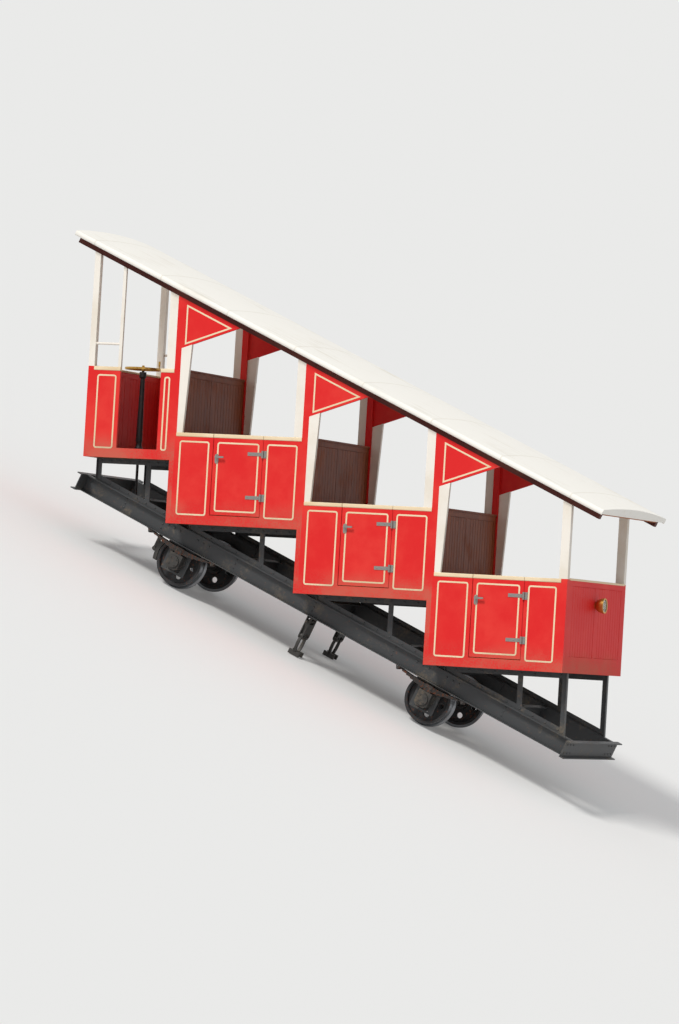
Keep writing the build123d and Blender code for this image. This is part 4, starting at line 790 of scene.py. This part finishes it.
def gusset_lining():
    """A line round each red gusset, under the cant rails."""
    made = []
    cant_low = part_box("roof")[0].z - CANT_DEPTH
    for index in CABINS:
        near = step_origin(index).x + POST_HALF
        far = near + GUSSET_LENGTH
        top = row_line(cant_low, near)
        clear_selection()
        bpy.ops.mesh.primitive_circle_add(vertices=3, radius=1, fill_type="NGON")
        line = bpy.context.active_object
        corners = ((near, top), (near, top - GUSSET_HEIGHT), (far, row_line(cant_low, far)))
        for vertex, (x, z) in zip(line.data.vertices, corners):
            vertex.co = (x, 0, z)
        edit_all(line)
        bpy.ops.mesh.inset(thickness=GUSSET_INSET)
        bpy.ops.mesh.select_all(action="INVERT")
        bpy.ops.mesh.delete(type="FACE")
        bpy.ops.object.mode_set(mode="OBJECT")
        made.append(mirrored_copies(raise_line(line), both_sides(Vector())))
    finished(joined(made), "lining_gussets", "cream_paint")


# Boards in the fields of walls, side panels and doors

BOARD_SMOOTH = 20.0
MATCH_BOARDS = 10
MATCH_THICK = 0.008
MATCH_BEVEL = 0.004
WALL_MIDDLES = [-PLATFORM_LENGTH + WALL_HALF] + [i * PITCH for i in range(COMPARTMENTS)]
WALL_MIDDLES.append(COMPARTMENTS * PITCH - WALL_HALF)
FIELD_EDGE = 0.055
FIELD_FLOOR = 0.982
FIELD_TOP = BELT_LOW - FIELD_EDGE
SIDE_BOARD = 0.083
DOOR_FOOT = 0.008


def wall_boards():
    """Upright boards with bevelled joints, sunk in both faces of every cross wall."""
    width = (FIELD_HALF - WALL_FRAME / 2) / MATCH_BOARDS
    for number, middle in enumerate(WALL_MIDDLES):
        floor = step_origin(max(number - 1, 0)).z
        board = box((0, 0, floor + WALL_FRAME), (MATCH_THICK, width, floor + BELT_HEIGHT - WALL_FRAME))
        bevel_all(board, MATCH_BEVEL)
        places = []
        for face in (middle - WALL_HALF + WALL_RECESS - MATCH_THICK, middle + WALL_HALF - WALL_RECESS):
            for start in (-FIELD_HALF, WALL_FRAME / 2):
                places += [Matrix.Translation((face, start + i * width, 0)) for i in range(MATCH_BOARDS)]
        boards = copies(board, places)
        if number in (0, len(WALL_MIDDLES) - 1):
            finished(boards, f"wall_boards_{number}", "red_paint", smooth=BOARD_SMOOTH)
        else:
            boarded(boards, f"wall_boards_{number}")


def field_boards(start, stop, low, origin, signs):
    """Upright boards sunk in one inner field, on the right side for sign -1 and on the left for 1."""
    count = round((stop - start) / SIDE_BOARD)
    width = (stop - start) / count
    board = bevel_all(box((0, 0, low), (width, MATCH_THICK, FIELD_TOP)), MATCH_BEVEL)
    places = []
    for sign in signs:
        y = sign * (FIELD_FLOOR - MATCH_THICK / 2) - MATCH_THICK / 2
        places += [Matrix.Translation(origin + Vector((start + i * width, y, 0))) for i in range(count)]
    return copies(board, places)


def side_boards():
    """Boards inside the fixed panels and the doors."""
    fixed = []
    for index in STEPS:
        for start, stop in panel_spans(index):
            if stop - start > 3 * FIELD_EDGE:
                field = (start + FIELD_EDGE, stop - FIELD_EDGE, FIELD_EDGE)
                fixed.append(field_boards(*field, step_origin(index), SIGNS))
    boarded(joined(fixed), "panel_boards")
    for door, origin, sign in DOORS:
        field = (DOOR_START + FIELD_EDGE, DOOR_STOP - FIELD_EDGE, DOOR_FOOT + FIELD_EDGE)
        boarded(field_boards(*field, origin, [sign]), f"door_boards_{door}", f"door_{door}")


# Door stops

PANEL_INNER = 0.97
STOP_SEAT = 0.03
STOP_LIP = 0.02
STOP_LIP_AT_HINGE = 0.012
STOP_INNER = 0.95
STOP_CLEAR = 0.005
STOP_HEAD = BELT_LOW - 0.007
STOP_BEVEL = 0.0015


def stop_batten(edge, direction, lip):
    """Upright batten seated on a fixed panel's inner face, with a lip that laps behind the door's edge."""
    seat = edge - direction * STOP_SEAT
    tip = edge + direction * lip
    inner = -PANEL_INNER + STOP_CLEAR
    batten = box((min(seat, tip), inner, 0), (max(seat, tip), -STOP_INNER, STOP_HEAD))
    edit_all(batten)
    bpy.ops.mesh.bisect(plane_co=(edge, 0, 0), plane_no=(1, 0, 0))
    pick_faces(batten, lambda face: face.normal.y < -0.9 and (edge - face.center.x) * direction > 0)
    bpy.ops.mesh.extrude_region_move(TRANSFORM_OT_translate={"value": (0, -STOP_CLEAR, 0)})
    return bevel_all(close(batten), STOP_BEVEL)


def door_stops():
    """Stops inside both edges of every doorway."""
    made = []
    for index in CABINS:
        latch_panel, hinge_panel = panel_spans(index)
        for edge, direction, lip in ((latch_panel[1], 1, STOP_LIP), (hinge_panel[0], -1, STOP_LIP_AT_HINGE)):
            batten = stop_batten(edge, direction, lip)
            batten.data.transform(Matrix.Translation((0, BODY_HALF, 0)))
            made.append(mirrored_copies(batten, both_sides(step_origin(index))))
    boarded(joined(made), "door_stops")


# Heads of screws, rivets and bolts: radius and height

SCREW = (0.006, 0.002)
SMALL_SCREW = (0.0045, 0.0018)
RIVET = (0.011, 0.006)
PIN_END = (0.0135, 0.004)
HEAD_SIDES = 10
PIN_SIDES = 14
HEAD_RINGS = 6
GUARD_BOLT = (0.012, 0.009)
COVER_BOLT = (0.008, 0.007)
HANGER_PIN = (0.012, 0.01)
BUCKLE_BOLT = (0.01, 0.008)
STAND_BOLT = (0.01, 0.014)
HUB_NUT = (0.016, 0.016)
CLEVIS_BOLT = (0.014, 0.012)
BRAKE_BOLT = (0.011, 0.009)
HEXAGON = 6
HEAD_CHAMFER = 0.12
WASHER_SIDES = 14
WASHER_WIDTH = 1.3
WASHER_THICK = 0.2
WASHER_EDGE = (0.08, 0.05)


def looks_up(face):
    """Whether a face lies level on top of a piece."""
    return face.normal.z > 0.9


def dome(radius, height, segments=HEAD_SIDES):
    """Round head of a rivet or screw, its flat side at the origin."""
    clear_selection()
    bpy.ops.mesh.primitive_uv_sphere_add(segments=segments, ring_count=HEAD_RINGS, radius=radius)
    piece = bpy.context.active_object
    edit_all(piece)
    bpy.ops.mesh.bisect(plane_co=(0, 0, 0), plane_no=(0, 0, 1), clear_inner=True, use_fill=True)
    bpy.ops.mesh.select_all(action="SELECT")
    bpy.ops.transform.resize(value=(1, 1, height / radius))
    return close(piece)


def hexagon_head(radius, height):
    """Hexagon bolt head on a round washer, at the origin."""
    seat = height * WASHER_THICK
    head = drum(HEXAGON, radius, seat, seat + height)
    pick_faces(head, looks_up)
    bpy.ops.mesh.inset(thickness=radius * HEAD_CHAMFER)
    bpy.ops.transform.translate(value=(0, 0, height * HEAD_CHAMFER))
    close(head)
    washer = drum(WASHER_SIDES, radius * WASHER_WIDTH, 0, seat)
    pick_faces(washer, looks_up)
    inset, drop = WASHER_EDGE
    bpy.ops.mesh.inset(thickness=height * inset, depth=height * drop)
    return joined([head, close(washer)])


def facing(place, direction):
    """The place of a piece that was modelled at the origin, pointing up Z."""
    return Matrix.Translation(place) @ Vector(direction).to_track_quat("Z", "Y").to_matrix().to_4x4()


def sideways(origin, x, y, z, sign):
    """Place of a head on a face that looks out to one side of the car, from an origin on its middle line."""
    return facing(origin + Vector((x, sign * y, z)), (0, sign, 0))


def circle(count, radius, first=0.5):
    """Evenly spaced points round a circle, the first a share of a spacing past its start."""
    turns = [2 * math.pi * (i + first) / count for i in range(count)]
    return [(radius * math.cos(turn), radius * math.sin(turn)) for turn in turns]


# Screws of benches, doors and lamps

BENCH_FRAMES = (-0.85, 0.0, 0.85)
SEAT_HEIGHT = 0.43
SEAT_SLATS = 5
SEAT_START = 0.1
BACK_SLATS = 4
BACK_PITCH = 0.1
BACK_FIRST = 0.035
BACK_FOOT = Vector((0.058, 0, 0.45))
BACK_THICK = 0.018
BACK_LEAN = math.atan2(0.044, 0.472)
STRAP_SCREWS = (0.03, 0.085, 0.15)
PLATE_SCREW = 0.032
PLATE_LIFT = 0.028
LATCH_PLACE = 0.545
LATCH_HEIGHT = 0.64
LATCH_LIFT = 0.042
LAMP_HEIGHT = 0.66
LAMP_DEPTH = 0.11
LAMP_SCREWS = (6, 0.078)


def bench_screws():
    """Brass screws through the slats of the seats and backs into the bench frames."""
    up = Vector((-math.sin(BACK_LEAN), 0, math.cos(BACK_LEAN)))
    out = Vector((math.cos(BACK_LEAN), 0, math.sin(BACK_LEAN)))
    benches = []
    for index in CABINS:
        benches += [(step_origin(index), WALL_HALF, 1), (step_origin(index), downhill_wall(index), -1)]
    seats = []
    backs = []
    for origin, wall, direction in benches:
        for y in BENCH_FRAMES:
            for i in range(SEAT_SLATS):
                x = wall + direction * (SEAT_START + i * SEAT_PITCH)
                seats.append(facing(origin + Vector((x, y, SEAT_HEIGHT)), (0, 0, 1)))
            for i in range(BACK_SLATS):
                at = BACK_FOOT + out * BACK_THICK + up * (BACK_FIRST + i * BACK_PITCH)
                place = origin + Vector((wall + direction * at.x, y, at.z))
                backs.append(facing(place, (direction * out.x, 0, out.z)))
    finished(copies(dome(*SCREW), seats), "seat_screws", "brass")
    finished(copies(dome(*SCREW), backs), "back_screws", "brass")


def hinge_screws():
    """Screws in the hinge straps of each door, and in the plates beside them."""
    plates = []
    for door, origin, sign in DOORS:
        straps = []
        for height in STRAP_HEIGHTS:
            for inset in STRAP_SCREWS:
                straps.append(sideways(origin, DOOR_STOP - inset, STRAP_FACE, height, sign))
            for lift in (-PLATE_LIFT, PLATE_LIFT):
                x = DOOR_STOP + HINGE_GAP + PLATE_SCREW
                plates.append(sideways(origin, x, STRAP_FACE, height + lift, sign))
        finished(copies(dome(*SCREW), straps), f"hinge_screws_{door}", "hinge_steel", f"door_{door}")
    finished(copies(dome(*SCREW), plates), "hinge_plate_screws", "hinge_steel")


def latch_screws():
    """Two brass screws in the rose of each door's latch."""
    for door, origin, sign in DOORS:
        heights = (LATCH_HEIGHT - LATCH_LIFT, LATCH_HEIGHT + LATCH_LIFT)
        places = [sideways(origin, LATCH_PLACE, STRAP_FACE, height, sign) for height in heights]
        finished(copies(dome(*SMALL_SCREW), places), f"latch_screws_{door}", "brass", f"door_{door}")


def lamp_screws():
    """Small screws round the rim of the lamp at each end."""
    uphill = step_origin(0) + Vector((PITCH - PLATFORM_LENGTH - LAMP_DEPTH, 0, LAMP_HEIGHT))
    downhill = step_origin(COMPARTMENTS) + Vector((PITCH + LAMP_DEPTH, 0, LAMP_HEIGHT))
    places = []
    for middle, direction in ((uphill, -1), (downhill, 1)):
        ring = circle(*LAMP_SCREWS)
        places += [facing(middle + Vector((0, y, z)), (direction, 0, 0)) for y, z in ring]
    finished(copies(dome(*SMALL_SCREW), places), "lamp_screws", "brass")


# Bolts and rivets of running gear and underframe, whose heights are square to the rails

BOX_FACE = 0.77
COVER_BOLTS = (4, 0.05)
GUARD_FACE = 0.66
GUARD_BOLTS = (-0.28, -0.2, -0.12, 0.12, 0.2, 0.28)
GUARD_ROW = 0.635
LUG_FACE = 0.733
SPRING_REACH = 0.43
SPRING_EYE = 0.478
BUCKLE_FACE = 0.73
BUCKLE_BOLTS = (0.028, 0.44)
CROSS_FROM_AXLE = (-0.91, -0.385, 0.62, 1.7, 2.78, 4.25)
CROSS_RIVET_INSET = 0.035
CROSS_RIVET_ROWS = (0.56, 0.61, 0.66)
CLEVIS_FACE = 0.03
CLEVIS_BOLTS = (0.085, 0.052)
CLEVIS_LINE = 0.6
STAND_PLACE = -0.86
STAND_FOOT = 0.017
STAND_BOLTS = (6, 0.074, 0)
HUB_TOP = 0.98
AXLE_FEET = [Vector((centre.x, 0, 0)) for centre in WHEEL_CENTRES]


def running_gear_bolts():
    """Cover bolts on the axle boxes, and the bolts that hold the axle guards."""
    covers = []
    guards = []
    for centre, foot in zip(WHEEL_CENTRES, AXLE_FEET):
        for sign in SIGNS:
            covers += [sideways(centre, x, BOX_FACE, z, sign) for x, z in circle(*COVER_BOLTS)]
            guards += [sideways(foot, x, GUARD_FACE, GUARD_ROW, sign) for x in GUARD_BOLTS]
    finished(copies(hexagon_head(*COVER_BOLT), covers), "axle_box_bolts", "cast_steel", level=False)
    finished(copies(hexagon_head(*GUARD_BOLT), guards), "axle_guard_bolts", "frame_paint", level=False)


def spring_bolts():
    """Pin heads in the spring hangers' outer lugs, and two bolts in each spring's buckle."""
    heads = []
    bolts = []
    aside, above = BUCKLE_BOLTS
    for foot in AXLE_FEET:
        for sign in SIGNS:
            for end in SIGNS:
                heads.append(sideways(foot, end * SPRING_REACH, LUG_FACE, SPRING_EYE, sign))
                bolts.append(sideways(foot, end * aside, BUCKLE_FACE, above, sign))
    finished(copies(hexagon_head(*HANGER_PIN), heads), "hanger_pin_heads", "cast_steel", level=False)
    finished(copies(hexagon_head(*BUCKLE_BOLT), bolts), "buckle_bolts", "cast_steel", level=False)


def cross_member_rivets():
    """Rivets through the solebars' webs at the end of every cross member."""
    places = []
    for along in CROSS_FROM_AXLE:
        for sign in SIGNS:
            for z in CROSS_RIVET_ROWS:
                places.append(sideways(AXLE_FEET[0], along + CROSS_RIVET_INSET, GUARD_FACE, z, sign))
    finished(copies(dome(*RIVET), places), "cross_member_rivets", "frame_paint", level=False)


def platform_bolts():
    """Bolts in the foot of the brake stand, the nut on the handwheel's hub, and the haul clevis's bolts."""
    stand = step_origin(0) + Vector((PITCH + STAND_PLACE, 0, 0))
    foot = [facing(stand + Vector((x, y, STAND_FOOT)), (0, 0, 1)) for x, y in circle(*STAND_BOLTS)]
    finished(copies(hexagon_head(*STAND_BOLT), foot), "brake_stand_bolts", "cast_steel")
    hub = facing(stand + Vector((0, 0, HUB_TOP)), (0, 0, 1))
    finished(copies(hexagon_head(*HUB_NUT), [hub]), "handwheel_nut", "brass")
    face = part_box("headstocks")[0].x + CLEVIS_FACE
    across, above = CLEVIS_BOLTS
    base = []
    for y in (-across, across):
        for z in (CLEVIS_LINE - above, CLEVIS_LINE + above):
            base.append(facing(Vector((face, y, z)), (-1, 0, 0)))
    finished(copies(hexagon_head(*CLEVIS_BOLT), base), "haul_clevis_bolts", "frame_paint", level=False)


CALIPER_PLACE = 1.73
CALIPER_MIDDLE = 0.53
CALIPER_PIN = (0.033, 0.062, 0.25)
CALIPER_BOLT = (0.028, 0.08, 0.508)
CALIPER_SPACER = (0.0155, 0.095, 0.5, 0.5275)
SPACER_BEVEL = 0.002


def caliper_places(middles, x, y, z):
    """Places on both faces of each rail brake, at both sides of its middle."""
    ends = [(middle, end, sign) for middle in middles for end in SIGNS for sign in SIGNS]
    return [facing(middle + Vector((end * x, sign * y, z)), (end, 0, 0)) for middle, end, sign in ends]


def caliper_bolts():
    """Spacer between the hanging plates of each rail brake with its bolts, and washers on the pivot pins."""
    half_x, half_y, low, high = CALIPER_SPACER
    middles = [AXLE_FEET[0] + Vector((CALIPER_PLACE, sign * CALIPER_MIDDLE, 0)) for sign in SIGNS]
    spacer = bevel_all(box((-half_x, -half_y, low), (half_x, half_y, high)), SPACER_BEVEL)
    spacers = copies(spacer, [Matrix.Translation(middle) for middle in middles])
    finished(spacers, "rail_brake_spacers", "frame_paint", level=False)
    bolts = copies(hexagon_head(*BRAKE_BOLT), caliper_places(middles, *CALIPER_BOLT))
    finished(bolts, "rail_brake_bolts", "cast_steel", level=False)
    pins = copies(dome(*PIN_END, PIN_SIDES), caliper_places(middles, *CALIPER_PIN))
    finished(pins, "rail_brake_pin_ends", "cast_steel", level=False)


TRESTLE_FACE = 0.689
TRESTLE_ROW = 0.03
TRESTLE_RIVETS = 9
TRESTLE_START = 0.15
SOLEBAR_TOP = 0.7
HEADSTOCK_WEB = 0.05
HEADSTOCK_RIVETS = (0.60, 0.70, 0.80)
HEADSTOCK_ROWS = (0.55, 0.65)


def trestle_rivets():
    """Rivets along the top and the sloping foot of every trestle."""
    places = []
    for index in STEPS:
        origin = step_origin(index)
        stop = downhill_wall(index)
        start = PITCH - PLATFORM_LENGTH + 2 * WALL_HALF if index == 0 else TRESTLE_START + WALL_HALF
        top = origin.z - SKIRT - TRESTLE_ROW
        for i in range(TRESTLE_RIVETS):
            x = origin.x + start + (stop - start) * (i + 0.5) / TRESTLE_RIVETS
            foot = row_line(SOLEBAR_TOP, x) + TRESTLE_ROW / COS
            rows = (top, foot) if top - foot > 2 * TRESTLE_ROW else (top,)
            for sign in SIGNS:
                places += [sideways(Vector((x, 0, row)), 0, TRESTLE_FACE, 0, sign) for row in rows]
    finished(copies(dome(*RIVET), places), "trestle_rivets", "frame_paint")


def headstock_rivets():
    """Rivets through the headstocks at the solebars' ends."""
    low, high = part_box("headstocks")
    places = []
    for x, direction in ((low.x + HEADSTOCK_WEB, -1), (high.x - HEADSTOCK_WEB, 1)):
        for y in HEADSTOCK_RIVETS:
            for sign in SIGNS:
                for z in HEADSTOCK_ROWS:
                    places.append(facing(Vector((x, sign * y, z)), (direction, 0, 0)))
    finished(copies(dome(*RIVET), places), "headstock_rivets", "frame_paint", level=False)


# Doorway treads

TREAD_THICK = 0.0025
TREAD_PLATE = 0.0015
TREAD_INSET = 0.02
TREAD_EDGES = (0.9, 0.965)
TREAD_RIBS = 7
RIB_INSET = 0.004
RIB_HALF = 0.0025
RIB_FOOT = 0.001
RIB_BEVEL = 0.0008


def door_treads():
    """Ribbed brass strips on the floor inside each doorway."""
    inner, outer = TREAD_EDGES
    width = outer - inner
    length = DOOR_STOP - DOOR_START - 2 * TREAD_INSET
    strips = [box((0, -width / 2, 0), (length, width / 2, TREAD_PLATE))]
    for i in range(TREAD_RIBS):
        y = -width / 2 + (i + 0.5) * width / TREAD_RIBS
        rib = box((RIB_INSET, y - RIB_HALF, RIB_FOOT), (length - RIB_INSET, y + RIB_HALF, TREAD_THICK))
        strips.append(bevel_all(rib, RIB_BEVEL))
    places = []
    for index in CABINS:
        for sign in SIGNS:
            start = Vector((DOOR_START + TREAD_INSET, sign * (inner + outer) / 2, 0))
            places.append(Matrix.Translation(step_origin(index) + start))
    finished(copies(joined(strips), places), "door_treads", "brass")


panel_lining()
door_lining()
gusset_lining()
wall_boards()
side_boards()
door_stops()
bench_screws()
hinge_screws()
latch_screws()
lamp_screws()
running_gear_bolts()
spring_bolts()
cross_member_rivets()
platform_bolts()
caliper_bolts()
trestle_rivets()
headstock_rivets()
door_treads()


# Floor, light and camera

FLOOR_SHADE = (0.77, 0.77, 0.765, 1.0)
FLOOR_SIZE = 3000.0
FLOOR_LIFT = 0.12
BLACK = (0.0, 0.0, 0.0, 1.0)
SKY_SHADE = (0.97, 0.985, 1.0, 1.0)
SKY_LEVEL = 0.52
SUN_SHADE = (1.0, 0.985, 0.95)
SUN_LEVEL = 2.0
SUN_FROM = Vector((-0.50, -0.75, 0.75))
SUN_WIDTH = 14.0
VIEW_AZIMUTH = 20.5
VIEW_ELEVATION = 7.2
VIEW_UP = Vector((-0.464, 0.0, 0.886))
LENS = 300.0
FILM_WIDTH = 36.0
SEEN_WIDTH = 7.7


def grey(level):
    """A grey of one level."""
    return (level, level, level, 1.0)


def studio_floor():
    """Pale floor that keeps the car's shadow."""
    clear_selection()
    bpy.ops.mesh.primitive_plane_add(size=FLOOR_SIZE)
    floor = bpy.context.active_object
    floor.name = "studio_floor"
    finish = Finish("studio_floor", Base_Color=FLOOR_SHADE, Roughness=0.9, Specular_IOR_Level=0.0)
    rays = finish.node("ShaderNodeLightPath", out="Is Camera Ray")
    finish.feed("Emission Color", finish.mix(rays, BLACK, grey(FLOOR_LIFT)))
    finish.shader.inputs["Emission Strength"].default_value = 1.0
    floor.data.materials.append(finish.material)


def studio_world():
    """Even light from all round, and a backdrop of the floor's own brightness."""
    world = bpy.data.worlds.new("studio")
    world.use_nodes = True
    bpy.context.scene.world = world
    graph = Graph(world.node_tree)
    graph.tree.nodes.clear()
    rays = ("Is Camera Ray", "Is Glossy Ray", "Is Transmission Ray")
    camera, glossy, through = graph.outputs("ShaderNodeLightPath", rays)
    light = graph.node("ShaderNodeBackground", values={"Color": SKY_SHADE, "Strength": SKY_LEVEL})
    shown = FLOOR_SHADE[1] * (SKY_LEVEL + SUN_LEVEL * SUN_FROM.normalized().z / math.pi) + FLOOR_LIFT
    backdrop = graph.node("ShaderNodeBackground", values={"Color": grey(shown)})
    seen = camera.most(glossy).most(through)
    either = graph.node("ShaderNodeMixShader", values={0: seen, 1: light, 2: backdrop})
    out = graph.tree.nodes.new("ShaderNodeOutputWorld")
    graph.tree.links.new(either.socket, out.inputs["Surface"])


def key_light():
    """One broad soft lamp from the camera's side, high and uphill."""
    lamp = bpy.data.lights.new("key", "SUN")
    lamp.energy = SUN_LEVEL
    lamp.angle = math.radians(SUN_WIDTH)
    lamp.color = SUN_SHADE
    holder = bpy.data.objects.new("key", lamp)
    holder.rotation_mode = "QUATERNION"
    holder.rotation_quaternion = SUN_FROM.to_track_quat("Z", "Y")
    bpy.context.scene.collection.objects.link(holder)


def photograph_camera():
    """Long lens at the photograph's viewing angle, rolled so that the posts stand upright."""
    data = bpy.data.cameras.new("photograph")
    data.lens = LENS
    data.sensor_width = FILM_WIDTH
    data.sensor_fit = "HORIZONTAL"
    data.clip_end = FLOOR_SIZE
    camera = bpy.data.objects.new("photograph", data)
    bpy.context.scene.collection.objects.link(camera)
    azimuth = math.radians(VIEW_AZIMUTH)
    elevation = math.radians(VIEW_ELEVATION)
    level_part = math.cos(elevation)
    back = Vector((math.sin(azimuth) * level_part, -math.cos(azimuth) * level_part, math.sin(elevation)))
    right = VIEW_UP.cross(back).normalized()
    up = back.cross(right)
    low, high = cad_box
    distance = SEEN_WIDTH * LENS / FILM_WIDTH
    turn = Matrix((right, up, back)).transposed().to_4x4()
    camera.matrix_world = Matrix.Translation((low + high) / 2 + back * distance) @ turn
    bpy.context.scene.camera = camera


studio_floor()
studio_world()
key_light()
photograph_camera()
bpy.context.scene.view_settings.view_transform = "Standard"
